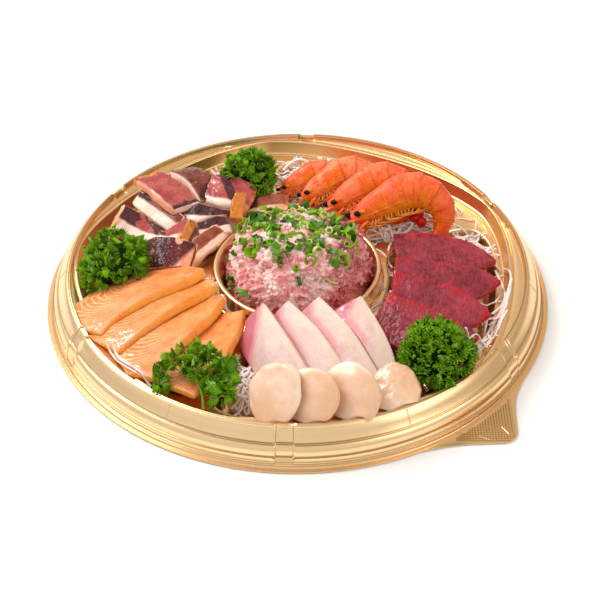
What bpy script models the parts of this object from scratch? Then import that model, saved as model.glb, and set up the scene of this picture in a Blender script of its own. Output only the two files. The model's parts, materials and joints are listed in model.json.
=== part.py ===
"""Round party tray of sashimi, at real size in metres.

A thin gold tray has a raised crest, a stepped skirt, a lift tab, five low compartments and a
centre cup. It holds sliced salmon, yellowtail and tuna, scallops, grilled squid, boiled prawns,
a mound of minced tuna, parsley and beds of shredded daikon. The origin lies on the tray's axis
at the surface it rests on, +Y points to the back and the lift tab is at the front right.
"""

from math import asin, cos, hypot, pi, radians, sin, tau

import bmesh
import bpy
from mathutils import Matrix, Vector, noise
from mathutils.bvhtree import BVHTree

# ---- tray ----
SHEET = 0.0008              # thickness of the formed sheet
FLANGE_R = 0.150            # outer edge of the flat flange
CREST_R = 0.1365            # outer edge of the crest
CREST_WIDTH = 0.0019
CREST_Z = 0.0227            # top of the crest
LEDGE_Z = 0.0196            # upper ledge, just inside the crest
PLATE_Z = 0.0115            # lower ledge and divider tops
LEDGE_CORNER_R = 0.1332     # the ledge's inner edge at a divider
LEDGE_BOW = 0.0076          # how far that edge comes in between two dividers
LEDGE_BOW_POWER = 1.3
LEDGE_FOOT = 0.0006         # how far the wall inside the crest slopes in
WALL_RUN = 0.0025           # how far the wall under the ledge slopes in
LOWER_LEDGE = 0.0040        # width of the lower ledge
FIRST_DIVIDER = radians(27)
COMPARTMENTS = 5
SECTOR = tau / COMPARTMENTS
DIVIDER = 0.0050            # width of a divider's top
COMPARTMENT_INNER_R = 0.0545
CORNER_POWER = 5.0          # roundness of a compartment's corners
WALL_DRAFT = 0.0030         # how far a compartment wall slopes in
FLOOR_FILLET = 0.0015
CUP_OUTER_R = 0.0500
CUP_INNER_R = 0.0465
CUP_FLOOR_R = 0.0420
CUP_Z = 0.0215
CUP = (                     # the cup's surface, from the plate over its rim to its floor
    (CUP_OUTER_R + 0.0015, PLATE_Z), (CUP_OUTER_R, CUP_Z - 0.0008),
    (CUP_OUTER_R - 0.0010, CUP_Z), (CUP_INNER_R + 0.0008, CUP_Z),
    (CUP_FLOOR_R + 0.0015, SHEET + FLOOR_FILLET), (CUP_FLOOR_R, SHEET),
)
TAB_FRONT = 0.1283          # the tab's two straight sides, measured from the axis
TAB_RIGHT = 0.1189
TAB_CORNER_R = 0.0090
TAB_FLARE = 0.0040
TAB_AZIMUTH = radians(312)
TAB_SPREAD = radians(16)
TAB_SIDE_LEAST = 0.3        # cosine past which a direction can't meet the tab
TAB_SEARCH = (0.130, 0.190) # radii between which the tab's edge lies
RIM_STEPS = 40              # columns round the rim
TAB_STEPS = 10              # columns across the tab
OUTLINE_STEPS = 16          # points round one compartment
CUP_STEPS = 24
SKIRT = (                   # the skirt's upper surface, from the flange over the crest
    (0.1474, SHEET), (0.1453, 0.0066), (0.1452, 0.0095), (0.1426, 0.0131), (0.1420, 0.0150),
    (0.1373, 0.0216), (CREST_R, CREST_Z), (CREST_R - CREST_WIDTH, CREST_Z),
    (CREST_R - CREST_WIDTH - LEDGE_FOOT, LEDGE_Z),
)

# ---- food ----
GAP = 0.00035               # clearance kept between touching pieces
BED_PATCH = 0.008           # reach round each point when the bed looks for food above it
BED_LEAST = 0.0045
CURVE_STEPS = 24            # fine steps between two knots of a smooth curve
SLICE_STATIONS = 7
SLICE_COLUMNS = (0.0, 0.3, 0.65, 1.0)   # shares of the width, from the ridge to the far edge
DROOP_START = 0.4           # share of the width where a slice starts to droop
RIDGE_ROUNDING = 0.05       # share of the thickness lost at a slice's raised edge
FAR_ROUNDING = 0.14
RIDGE_BULGE = 0.10          # how far the two sides stand out, as shares of the thickness
FAR_BULGE = 0.22
END_RUN = 0.22              # share of the length over which a slice's ends taper
END_THICKNESS = 0.72
SQUID_STATIONS = 6
SQUID_NARROWING = 0.10
SQUID_SECTION = (           # shares of half the width and half the thickness
    (-1.0, 0.55), (-0.86, 1.0), (0.86, 1.0), (1.0, 0.55),
    (1.0, -0.6), (0.84, -1.0), (-0.84, -1.0), (-1.0, -0.6),
)
STRAIGHT_RADIUS = 1e3       # stands for no bend
PRAWN_STEPS = 8
SCALLOP_STEPS = 14
SCALLOP_THICK = 0.0076
SCALLOP_PROFILE = (         # shares of the radius and of half the thickness
    (0.66, -0.90), (0.95, -0.50), (1.0, 0.0), (0.94, 0.55), (0.70, 0.90), (0.34, 1.06),
)
MINCE_STEPS = 18
MINCE_PROFILE = (           # radius and height, from the cup's floor to the top
    (0.0400, 0.0015), (0.0425, 0.0080), (0.0448, 0.0165), (0.0425, 0.0270),
    (0.0350, 0.0360), (0.0235, 0.0425), (0.0100, 0.0455),
)
MINCE_DENT = 0.20           # the hollow at the front, as a share of the radius
MINCE_DENT_AZIMUTH = radians(285)
MINCE_SHIFT = 0.002         # the mound sits this far behind the cup's middle
BUNCH_LEVELS = 6
BUNCH_STEPS = 10
BUNCH_LUMPS = 0.16
BED_FOOT_INSET = 0.0022
BED_FOOT_Z = SHEET + 0.0005
BED_LEVELS = ((0.0026, 0.45), (0.0090, 0.85), (0.0175, 1.0), (0.0270, 1.0))
WIDENINGS = (1.0, 1.25, 1.5, 1.8)       # clearances tried in turn, in gaps

UP = Vector((0, 0, 1))


# ---- shared helpers ----

def material(name, colour, roughness, metallic=0.0):
    """A Principled finish; the same name always gives the same material."""
    found = bpy.data.materials.get(name)
    if found:
        return found
    made = bpy.data.materials.new(name)
    made.use_nodes = True
    shader = made.node_tree.nodes["Principled BSDF"]
    shader.inputs["Base Color"].default_value = (*colour, 1.0)
    shader.inputs["Roughness"].default_value = roughness
    shader.inputs["Metallic"].default_value = metallic
    made.diffuse_color = (*colour, 1.0)
    return made


def add_object(name, mesh_data, finish):
    """Turn a bmesh into a named, smooth-shaded object."""
    bmesh.ops.recalc_face_normals(mesh_data, faces=mesh_data.faces)
    bmesh.ops.triangulate(mesh_data, faces=mesh_data.faces)
    mesh = bpy.data.meshes.new(name)
    mesh_data.to_mesh(mesh)
    mesh_data.free()
    mesh.materials.append(finish)
    mesh.shade_smooth()
    mesh.set_sharp_from_angle(angle=radians(40))
    made = bpy.data.objects.new(name, mesh)
    bpy.context.scene.collection.objects.link(made)
    return made


def evaluated_mesh(thing):
    """The thing's mesh with its modifiers applied."""
    depsgraph = bpy.context.evaluated_depsgraph_get()
    return bpy.data.meshes.new_from_object(thing.evaluated_get(depsgraph))


def through(points, count):
    """Evenly spaced points on a smooth curve through the given points."""
    knots = [Vector(p) for p in points]
    ends = [2 * knots[0] - knots[1], *knots, 2 * knots[-1] - knots[-2]]
    fine = []
    for a, b, c, d in zip(ends, ends[1:], ends[2:], ends[3:]):
        for step in range(CURVE_STEPS):
            t = step / CURVE_STEPS
            fine.append(0.5 * (2 * b + (c - a) * t + (2 * a - 5 * b + 4 * c - d) * t * t
                               + (3 * b - a - 3 * c + d) * t ** 3))
    fine.append(knots[-1])
    reach = [0.0]
    for a, b in zip(fine, fine[1:]):
        reach.append(reach[-1] + (b - a).length)
    spread = []
    k = 0
    for i in range(count):
        goal = reach[-1] * i / (count - 1)
        while k < len(fine) - 2 and reach[k + 1] < goal:
            k += 1
        part = (goal - reach[k]) / max(reach[k + 1] - reach[k], 1e-9)
        spread.append(fine[k].lerp(fine[k + 1], min(part, 1.0)))
    return spread


def ring_of(mesh_data, points):
    return [mesh_data.verts.new(p) for p in points]


def bridge(mesh_data, lower, upper):
    """Quads between two closed rings of the same length."""
    count = len(lower)
    for i in range(count):
        j = (i + 1) % count
        mesh_data.faces.new((lower[i], lower[j], upper[j], upper[i]))


def loft(rings):
    """A closed skin over a row of rings, capped at both ends."""
    mesh_data = bmesh.new()
    made = [ring_of(mesh_data, ring) for ring in rings]
    for lower, upper in zip(made, made[1:]):
        bridge(mesh_data, lower, upper)
    mesh_data.faces.new(made[0][::-1])
    mesh_data.faces.new(made[-1])
    return mesh_data


def frame_at(spine, i):
    """Unit tangent of a row of points at point i."""
    ahead = spine[min(i + 1, len(spine) - 1)]
    behind = spine[max(i - 1, 0)]
    return (ahead - behind).normalized()


# ---- tray ----

def ledge_r(azimuth):
    """Inner edge of the upper ledge: five bowed sides that meet the crest at the dividers."""
    middle = FIRST_DIVIDER + SECTOR / 2
    bow = abs(cos((azimuth - middle) * COMPARTMENTS / 2)) ** LEDGE_BOW_POWER
    return LEDGE_CORNER_R - LEDGE_BOW * bow


def plate_r(azimuth):
    """Foot of the wall under the upper ledge."""
    return ledge_r(azimuth) - WALL_RUN


def flange_r(azimuth):
    """Flange edge: round, with the lift tab's square corner flared into it."""
    across, along = cos(azimuth), -sin(azimuth)
    if across <= TAB_SIDE_LEAST or along <= TAB_SIDE_LEAST:
        return FLANGE_R
    reach = 0.0
    low, high = TAB_SEARCH
    for _ in range(30):                     # bisect for the edge of the rounded square corner
        reach = (low + high) / 2
        dx = reach * across - (TAB_RIGHT - TAB_CORNER_R)
        dy = reach * along - (TAB_FRONT - TAB_CORNER_R)
        beyond = hypot(max(dx, 0), max(dy, 0)) + min(max(dx, dy), 0) - TAB_CORNER_R
        low, high = (low, reach) if beyond > 0 else (reach, high)
    lead = reach - FLANGE_R
    flared = (lead + hypot(lead, 2 * TAB_FLARE)) / 2
    fade = max(0.0, 1 - (abs(azimuth - TAB_AZIMUTH) / TAB_SPREAD) ** 6)
    return FLANGE_R + flared * fade


def rim_azimuths():
    """Columns round the rim, closer together across the tab."""
    plain = [tau * i / RIM_STEPS for i in range(RIM_STEPS)]
    kept = [a for a in plain if abs(a - TAB_AZIMUTH) > TAB_SPREAD]
    step = 2 * TAB_SPREAD / TAB_STEPS
    fine = [TAB_AZIMUTH - TAB_SPREAD + step * (i + 0.5) for i in range(TAB_STEPS)]
    return sorted(kept + fine)


def compartment_outline(index, inset):
    """Rounded outline of one compartment at the plate, moved in by inset."""
    middle = FIRST_DIVIDER + SECTOR * (index + 0.5)
    points = []
    for i in range(OUTLINE_STEPS):
        turn = tau * (i + 0.5) / OUTLINE_STEPS
        across = abs(cos(turn)) ** (2 / CORNER_POWER) * (1 if cos(turn) > 0 else -1)
        out = abs(sin(turn)) ** (2 / CORNER_POWER) * (1 if sin(turn) > 0 else -1)
        azimuth = middle
        for _ in range(6):                  # the outer edge depends on the azimuth it is at
            inner = COMPARTMENT_INNER_R + inset
            outer = plate_r(azimuth) - LOWER_LEDGE - inset
            r = inner + (outer - inner) * (out + 1) / 2
            half = r * sin(SECTOR / 2) - DIVIDER / 2 - inset
            azimuth = middle - asin(across * half / r)
        points.append((r * cos(azimuth), r * sin(azimuth)))
    return points


def round_loop(radius, z, count):
    return [(radius * cos(tau * i / count), radius * sin(tau * i / count), z) for i in range(count)]


def ring_edges(loop):
    """The edges that join a closed ring of vertices."""
    edges = []
    for a, b in zip(loop, loop[1:] + loop[:1]):
        edges.append(next(edge for edge in a.link_edges if edge.other_vert(a) is b))
    return edges


def make_tray():
    sheet = bmesh.new()
    columns = rim_azimuths()
    rows = [[(flange_r(a) * cos(a), flange_r(a) * sin(a), SHEET) for a in columns]]
    rows += [[(r * cos(a), r * sin(a), z) for a in columns] for r, z in SKIRT]
    rows.append([(ledge_r(a) * cos(a), ledge_r(a) * sin(a), LEDGE_Z) for a in columns])
    rows.append([(plate_r(a) * cos(a), plate_r(a) * sin(a), PLATE_Z) for a in columns])
    rings = [ring_of(sheet, row) for row in rows]
    for outer, inner in zip(rings, rings[1:]):
        bridge(sheet, outer, inner)
    plate_loops = [rings[-1]]
    for index in range(COMPARTMENTS):
        levels = ((0.0, PLATE_Z), (WALL_DRAFT, SHEET + FLOOR_FILLET),
                  (WALL_DRAFT + FLOOR_FILLET, SHEET))
        walls = [ring_of(sheet, [(x, y, z) for x, y in compartment_outline(index, inset)])
                 for inset, z in levels]
        for upper, lower in zip(walls, walls[1:]):
            bridge(sheet, upper, lower)
        sheet.faces.new(walls[-1])
        plate_loops.append(walls[0])
    cup_rings = [ring_of(sheet, round_loop(r, z, CUP_STEPS)) for r, z in CUP]
    for outer, inner in zip(cup_rings, cup_rings[1:]):
        bridge(sheet, outer, inner)
    sheet.faces.new(cup_rings[-1])
    plate_loops.append(cup_rings[0])
    edges = [edge for loop in plate_loops for edge in ring_edges(loop)]
    bmesh.ops.triangle_fill(sheet, use_beauty=True, use_dissolve=False, edges=edges)
    bmesh.ops.recalc_face_normals(sheet, faces=sheet.faces)
    top = max(sheet.faces, key=lambda face: face.calc_center_median().z)
    if top.normal.z < 0:
        bmesh.ops.reverse_faces(sheet, faces=sheet.faces)
    mesh = bpy.data.meshes.new("tray")
    sheet.to_mesh(mesh)
    sheet.free()
    mesh.materials.append(material("tray_gold", (0.80, 0.58, 0.28), 0.25, 1.0))
    mesh.shade_smooth()
    mesh.set_sharp_from_angle(angle=radians(35))
    tray = bpy.data.objects.new("tray", mesh)
    bpy.context.scene.collection.objects.link(tray)
    solid = tray.modifiers.new("sheet", "SOLIDIFY")
    solid.thickness = SHEET
    solid.offset = -1.0
    solid.use_even_offset = True
    return tray


# ---- sliced fish ----

def slice_section(ridge, side, tilt, width, thick, droop):
    """Cross-section of a leaning slice: it falls away from its raised ridge, and the far
    part droops further."""
    top, under = [], []
    place = ridge.copy()
    last = 0.0
    for q in SLICE_COLUMNS:
        lean = tilt + droop * max(0.0, (q - DROOP_START) / (1 - DROOP_START))
        run = -(side * cos(lean) + UP * sin(lean))
        normal = UP * cos(lean) - side * sin(lean)
        place = place + run * width * (q - last)
        last = q
        thin = {0.0: RIDGE_ROUNDING, 1.0: FAR_ROUNDING}.get(q, 0.0)
        top.append(place - normal * thick * thin)
        under.append(place - normal * thick * (1 - thin))
    edge_out = side * cos(tilt) + UP * sin(tilt)
    ridge_side = (top[0] + under[0]) / 2 + edge_out * thick * RIDGE_BULGE
    far_side = (top[-1] + under[-1]) / 2 + run * thick * FAR_BULGE
    return [*top, far_side, *under[::-1], ridge_side]


def make_slice(name, ridge, side_hint, tilts, width, thicks, droop, ends, finish):
    """A slice of fish along its raised ridge line. tilts and thicks run from the first end
    to the last, and ends are the width left at the two ends."""
    spine = through(ridge, SLICE_STATIONS)
    rings = []
    for i, point in enumerate(spine):
        t = i / (SLICE_STATIONS - 1)
        tangent = frame_at(spine, i)
        side = tangent.cross(UP).normalized()
        if side.dot(Vector(side_hint)) < 0:
            side.negate()
        nearest = min(t / END_RUN, (1 - t) / END_RUN, 1.0)
        left = ends[0] if t < 0.5 else ends[1]
        share = left + (1 - left) * sin(nearest * pi / 2)
        tilt = radians(tilts[0] + (tilts[1] - tilts[0]) * t)
        full = thicks[0] + (thicks[1] - thicks[0]) * t
        thick = full * (END_THICKNESS + (1 - END_THICKNESS) * min(1.0, nearest * 2))
        rings.append(slice_section(point, side, tilt, width * share, thick, radians(droop)))
    return add_object(name, loft(rings), finish)


def make_salmon():
    finish = material("salmon", (0.90, 0.30, 0.10), 0.3)
    lean_to = (0.6, -0.8, 0.0)
    ridges = (
        ((-0.0543, -0.0145, 0.0310), (-0.0679, -0.0274, 0.0320), (-0.0850, -0.0378, 0.0315),
         (-0.0986, -0.0496, 0.0290), (-0.1072, -0.0562, 0.0260), (-0.1105, -0.0645, 0.0238)),
        ((-0.0463, -0.0235, 0.0285), (-0.0551, -0.0330, 0.0290), (-0.0677, -0.0429, 0.0295),
         (-0.0780, -0.0544, 0.0290), (-0.0942, -0.0716, 0.0260), (-0.0995, -0.0790, 0.0238)),
        ((-0.0420, -0.0324, 0.0260), (-0.0473, -0.0468, 0.0270), (-0.0539, -0.0584, 0.0275),
         (-0.0634, -0.0711, 0.0275), (-0.0697, -0.0834, 0.0265), (-0.0765, -0.1014, 0.0240)),
        ((-0.0312, -0.0423, 0.0230), (-0.0297, -0.0476, 0.0235), (-0.0345, -0.0625, 0.0240),
         (-0.0381, -0.0759, 0.0240), (-0.0449, -0.0939, 0.0240), (-0.0560, -0.1130, 0.0230)),
    )
    widths = (0.0350, 0.0340, 0.0350, 0.0350)
    outer_ends = (0.52, 0.72, 0.50, 0.80)
    for i, (ridge, width) in enumerate(zip(ridges, widths)):
        make_slice(f"salmon_{i + 1}", ridge, lean_to, (22 - 2 * i, 5 - i), width,
                   (0.0090, 0.0062), 6 - 2 * i, (0.62, outer_ends[i]), finish)


def make_yellowtail():
    finish = material("yellowtail", (0.86, 0.66, 0.56), 0.3)
    lean_to = (0.9, 0.4, 0.0)
    ridges = (
        ((-0.0195, -0.0470, 0.0320), (-0.0110, -0.0640, 0.0310), (-0.0030, -0.0790, 0.0280),
         (0.0060, -0.0960, 0.0235)),
        ((-0.0055, -0.0430, 0.0305), (0.0105, -0.0650, 0.0295), (0.0190, -0.0800, 0.0265),
         (0.0280, -0.0960, 0.0220)),
        ((0.0120, -0.0390, 0.0300), (0.0270, -0.0600, 0.0285), (0.0350, -0.0750, 0.0255),
         (0.0450, -0.0950, 0.0205)),
        ((0.0365, -0.0375, 0.0290), (0.0455, -0.0590, 0.0270), (0.0525, -0.0780, 0.0235),
         (0.0545, -0.0920, 0.0195)),
    )
    widths = (0.0275, 0.0260, 0.0270, 0.0250)
    tilts = ((33, 26), (27, 23), (23, 19), (14, 14))
    for i, (ridge, width, tilt) in enumerate(zip(ridges, widths, tilts)):
        make_slice(f"yellowtail_{i + 1}", ridge, lean_to, tilt, width,
                   (0.0056, 0.0062), 14 - 3 * i, (0.72, 0.80), finish)


def make_tuna():
    finish = material("tuna", (0.36, 0.02, 0.04), 0.35)
    lean_to = (0.3, 1.0, 0.0)
    ridges = (
        ((0.0580, 0.0320, 0.0205), (0.0750, 0.0330, 0.0210), (0.0900, 0.0295, 0.0210),
         (0.1050, 0.0235, 0.0205), (0.1165, 0.0130, 0.0200), (0.1200, 0.0060, 0.0195)),
        ((0.0585, 0.0030, 0.0255), (0.0790, -0.0010, 0.0255), (0.1000, -0.0040, 0.0245),
         (0.1130, -0.0075, 0.0230), (0.1200, -0.0150, 0.0210)),
        ((0.0570, -0.0165, 0.0290), (0.0790, -0.0225, 0.0290), (0.1010, -0.0355, 0.0270),
         (0.1105, -0.0480, 0.0240)),
        ((0.0520, -0.0370, 0.0315), (0.0750, -0.0505, 0.0315), (0.0965, -0.0625, 0.0285),
         (0.1020, -0.0690, 0.0250)),
    )
    widths = (0.0290, 0.0260, 0.0290, 0.0310)
    tilts = ((6, 4), (12, 10), (15, 14), (18, 16))
    for i, (ridge, width, tilt) in enumerate(zip(ridges, widths, tilts)):
        make_slice(f"tuna_{i + 1}", ridge, lean_to, tilt, width,
                   (0.0072, 0.0066), 8, (0.86, 0.50), finish)


# ---- scallops ----

def make_scallops():
    """Four discs fanned like shingles: each one's right side rests on the next one."""
    finish = material("scallop", (0.88, 0.66, 0.46), 0.3)
    places = (              # centre, the two radii, then lean to the front and roll to the left
        (-0.0122, -0.1203, 0.0303, 0.0160, 0.0184, 40, 21),
        (0.0070, -0.1216, 0.0284, 0.0160, 0.0178, 40, 20),
        (0.0280, -0.1182, 0.0272, 0.0176, 0.0190, 38, 19),
        (0.0515, -0.1118, 0.0228, 0.0160, 0.0172, 24, 8),
    )
    for i, (x, y, z, across, down, lean, roll) in enumerate(places):
        turn = (Matrix.Rotation(radians(lean), 3, "X")
                @ Matrix.Rotation(radians(-roll), 3, "Y"))
        rings = []
        for share, lift in SCALLOP_PROFILE:
            ring = []
            for k in range(SCALLOP_STEPS):
                a = tau * k / SCALLOP_STEPS
                uneven = 1 + 0.045 * sin(2 * a + 1.7 * i) + 0.025 * sin(3 * a + i)
                spot = Vector((cos(a) * across, sin(a) * down, 0)) * share * uneven
                spot.z = lift * SCALLOP_THICK / 2
                ring.append(Vector((x, y, z)) + turn @ spot)
            rings.append(ring)
        add_object(f"scallop_{i + 1}", loft(rings), finish)


# ---- prawns ----

PRAWN_ARCH = (              # along, up, half depth, half width, from the mouth to the tail fan
    (-0.0085, -0.0050, 0.0022, 0.0020), (-0.0020, -0.0025, 0.0060, 0.0043),
    (0.0070, 0.0020, 0.0088, 0.0058), (0.0170, 0.0065, 0.0103, 0.0066),
    (0.0270, 0.0105, 0.0112, 0.0069), (0.0360, 0.0120, 0.0112, 0.0069),
    (0.0440, 0.0098, 0.0100, 0.0066), (0.0500, 0.0050, 0.0086, 0.0061),
    (0.0525, -0.0015, 0.0070, 0.0055), (0.0518, -0.0080, 0.0056, 0.0049),
    (0.0490, -0.0135, 0.0040, 0.0045), (0.0440, -0.0165, 0.0020, 0.0058),
    (0.0385, -0.0175, 0.0012, 0.0070),
)


def make_prawns():
    finish = material("prawn", (0.85, 0.22, 0.07), 0.35)
    places = (              # x, y, z of the eye, size, heading, recline and pitch in degrees
        (-0.0080, 0.0850, 0.0160, 0.70, 6, 50, 0), (0.0065, 0.0745, 0.0200, 0.85, 6, 52, 2),
        (0.0235, 0.0610, 0.0225, 0.92, 5, 54, 3), (0.0375, 0.0450, 0.0255, 1.02, 3, 56, 0),
    )
    for i, (x, y, z, size, heading, recline, pitch) in enumerate(places):
        turn = (Matrix.Rotation(radians(heading), 3, "Z")
                @ Matrix.Rotation(radians(recline), 3, "X")
                @ Matrix.Rotation(radians(pitch), 3, "Z"))
        centres = [Vector((a, b, 0)) * size for a, b, _, _ in PRAWN_ARCH]
        rings = []
        for k, (_, _, depth, breadth) in enumerate(PRAWN_ARCH):
            tangent = frame_at(centres, k)
            back = Vector((-tangent.y, tangent.x, 0))
            ring = []
            for s in range(PRAWN_STEPS):
                a = tau * (s + 0.5) / PRAWN_STEPS
                spot = centres[k] + back * cos(a) * depth * size
                spot += Vector((0, 0, 1)) * sin(a) * breadth * size
                ring.append(Vector((x, y, z)) + turn @ spot)
            rings.append(ring)
        add_object(f"prawn_{i + 1}", loft(rings), finish)


# ---- grilled squid ----

def make_squid_piece(name, centre, angles, length, width, thick, bend, finish):
    """A block cut from the squid's tube: it bends round the tube's axis, skin outwards."""
    turn = (Matrix.Rotation(radians(angles[0]), 3, "Z") @ Matrix.Rotation(radians(angles[1]), 3, "Y")
            @ Matrix.Rotation(radians(angles[2]), 3, "X"))
    bow = radians(bend)
    radius = length / bow if bow else STRAIGHT_RADIUS
    rings = []
    for k in range(SQUID_STATIONS):
        t = k / (SQUID_STATIONS - 1) - 0.5
        a = t * length / radius
        middle = Vector((radius * sin(a), 0, radius * (cos(a) - 1)))
        out = Vector((sin(a), 0, cos(a)))
        share = 1.0 - SQUID_NARROWING * abs(2 * t) ** 3
        half = width / 2 * share
        rise = thick / 2 * share
        rings.append([Vector(centre) + turn @ (middle + Vector((0, 1, 0)) * half * u + out * rise * v)
                      for u, v in SQUID_SECTION])
    return add_object(name, loft(rings), finish)


def make_squid():
    finish = material("squid", (0.36, 0.14, 0.15), 0.4)
    pieces = (              # centre, turn about Z, Y and X, length, width, thickness, bend
        ((-0.0810, 0.0610, 0.0310), (-48, 4, -10), 0.040, 0.0235, 0.0075, 14),
        ((-0.0860, 0.0480, 0.0255), (-42, 8, 38), 0.036, 0.0150, 0.0090, 24),
        ((-0.0875, 0.0345, 0.0170), (-20, 0, 16), 0.054, 0.0225, 0.0080, -98),
        ((-0.0620, 0.0745, 0.0295), (-52, 6, -14), 0.034, 0.0220, 0.0075, 62),
        ((-0.0415, 0.0625, 0.0280), (-16, 8, 14), 0.030, 0.0250, 0.0085, 30),
        ((-0.0575, 0.0445, 0.0245), (-14, 4, 28), 0.028, 0.0140, 0.0080, 26),
        ((-0.0360, 0.0455, 0.0300), (80, -24, 10), 0.0185, 0.0098, 0.0070, 10),
        ((-0.0790, 0.0105, 0.0210), (-12, -4, 20), 0.032, 0.0240, 0.0090, 60),
        ((-0.0555, 0.0200, 0.0215), (48, -6, 26), 0.036, 0.0140, 0.0085, 50),
        ((-0.0510, 0.0345, 0.0215), (20, 0, 24), 0.020, 0.0150, 0.0085, 20),
        ((-0.0180, 0.0600, 0.0200), (14, 0, 20), 0.026, 0.0140, 0.0080, 40),
    )
    for i, (centre, angles, length, width, thick, bend) in enumerate(pieces):
        make_squid_piece(f"squid_{i + 1}", centre, angles, length, width, thick, bend, finish)


# ---- mound, herbs and shredded daikon ----

def make_mince():
    """Minced tuna heaped in the centre cup."""
    finish = material("minced_tuna", (0.85, 0.42, 0.42), 0.45)
    rings = []
    for radius, z in MINCE_PROFILE:
        ring = []
        for k in range(MINCE_STEPS):
            a = tau * k / MINCE_STEPS
            swell = 1.0
            if z > PLATE_Z:
                swell += 0.05 * sin(3 * a + 1.0) + 0.04 * sin(5 * a + z * 200)
                swell *= 1 - MINCE_DENT * max(0.0, cos(a - MINCE_DENT_AZIMUTH)) ** 4
            ring.append((radius * swell * cos(a), radius * swell * sin(a) + MINCE_SHIFT, z))
        rings.append(ring)
    return add_object("minced_tuna", loft(rings), finish)


def make_bunch(name, centre, radii, seed, finish):
    """A lumpy rounded bunch."""
    rings = []
    for j in range(1, BUNCH_LEVELS + 1):
        polar = pi * j / (BUNCH_LEVELS + 1)
        ring = []
        for k in range(BUNCH_STEPS):
            a = tau * k / BUNCH_STEPS
            ray = Vector((sin(polar) * cos(a), sin(polar) * sin(a), -cos(polar)))
            lump = 1 + BUNCH_LUMPS * noise.noise(ray * 1.9 + Vector((seed * 7.3, 0, 0)))
            ring.append(Vector(centre) + Vector([ray[n] * radii[n] * lump for n in range(3)]))
        rings.append(ring)
    return add_object(name, loft(rings), finish)


def make_parsley():
    finish = material("parsley", (0.10, 0.28, 0.02), 0.5)
    bunches = (
        ((-0.1085, -0.0030, 0.0250), (0.0215, 0.0280, 0.0165)),
        ((-0.0310, 0.0830, 0.0265), (0.0190, 0.0205, 0.0170)),
        ((-0.0545, -0.1010, 0.0285), (0.0225, 0.0190, 0.0100)),
        ((0.0765, -0.0870, 0.0280), (0.0235, 0.0215, 0.0180)),
    )
    for i, (centre, radii) in enumerate(bunches):
        make_bunch(f"parsley_{i + 1}", centre, radii, i + 1, finish)


def tree_of(thing):
    mesh = evaluated_mesh(thing)
    return BVHTree.FromPolygons([v.co for v in mesh.vertices], [p.vertices for p in mesh.polygons])


def room_above(trees, x, y):
    """Height of the lowest food over a small patch of the floor."""
    lowest = 1.0
    for step in range(9):
        reach = 0.0 if step == 0 else BED_PATCH
        turn = tau * step / 8
        start = Vector((x + reach * cos(turn), y + reach * sin(turn), SHEET))
        for tree in trees:
            hit = tree.ray_cast(start, UP)[0]
            if hit:
                lowest = min(lowest, hit.z)
    return max(lowest - 2 * GAP, BED_LEAST)


def make_daikon():
    """A bed of shredded daikon in each compartment, heaped up until it meets the food."""
    finish = material("daikon", (0.82, 0.72, 0.66), 0.4)
    trees = [tree_of(thing) for thing in bpy.data.objects if thing.name != "tray"]
    heaps = (0.0140, 0.0175, 0.0165, 0.0180, 0.0170)
    for index, heap in enumerate(heaps):
        foot = compartment_outline(index, WALL_DRAFT + BED_FOOT_INSET)
        rings = [[(x, y, BED_FOOT_Z) for x, y in foot]]
        for inset, share in BED_LEVELS:
            outline = compartment_outline(index, inset)
            rings.append([(x, y, min(heap * share, room_above(trees, x, y))) for x, y in outline])
        add_object(f"daikon_{index + 1}", loft(rings), finish)


# ---- clearance between touching pieces ----

def swollen_copy(thing, gap):
    """A hidden cutter: the thing's own shape grown by the gap."""
    mesh = evaluated_mesh(thing)
    normals = [v.normal.copy() for v in mesh.vertices]
    for vertex, normal in zip(mesh.vertices, normals):
        vertex.co += normal * gap
    cutter = bpy.data.objects.new("cutter", mesh)
    bpy.context.scene.collection.objects.link(cutter)
    return cutter


def box_of(thing):
    corners = [v.co for v in evaluated_mesh(thing).vertices]
    return [(min(c[n] for c in corners), max(c[n] for c in corners)) for n in range(3)]


def boxes_meet(one, other):
    return all(a[0] < b[1] + GAP and b[0] < a[1] + GAP for a, b in zip(one, other))


def surfaces_meet(one, other):
    """Whether two pieces come closer than the gap."""
    cutter = swollen_copy(other, GAP)
    met = tree_of(one).overlap(tree_of(cutter))
    bpy.data.objects.remove(cutter)
    return bool(met)


def connected_parts(mesh_data):
    """The faces of each connected piece, smallest piece first."""
    left = set(mesh_data.faces)
    parts = []
    while left:
        heap, seen = [left.pop()], set()
        while heap:
            face = heap.pop()
            seen.add(face)
            near = {f for edge in face.edges for f in edge.link_faces} & left
            left -= near
            heap.extend(near)
        parts.append(seen)
    return sorted(parts, key=lambda part: sum(face.calc_area() for face in part))


def cut_mesh(piece, cutter):
    """The piece less the cutter, as a bmesh without slivers or loose crumbs."""
    cut = piece.modifiers.new("clear", "BOOLEAN")
    cut.operation = "DIFFERENCE"
    cut.solver = "EXACT"
    cut.object = cutter
    mesh = evaluated_mesh(piece)
    piece.modifiers.remove(cut)
    mesh_data = bmesh.new()
    mesh_data.from_mesh(mesh)
    bmesh.ops.triangulate(mesh_data, faces=mesh_data.faces)
    bmesh.ops.dissolve_limit(mesh_data, angle_limit=radians(0.1), verts=mesh_data.verts,
                             edges=mesh_data.edges)
    bmesh.ops.triangulate(mesh_data, faces=mesh_data.faces)
    crumbs = [face for part in connected_parts(mesh_data)[:-1] for face in part]
    bmesh.ops.delete(mesh_data, geom=crumbs, context="FACES")
    return mesh_data


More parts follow.
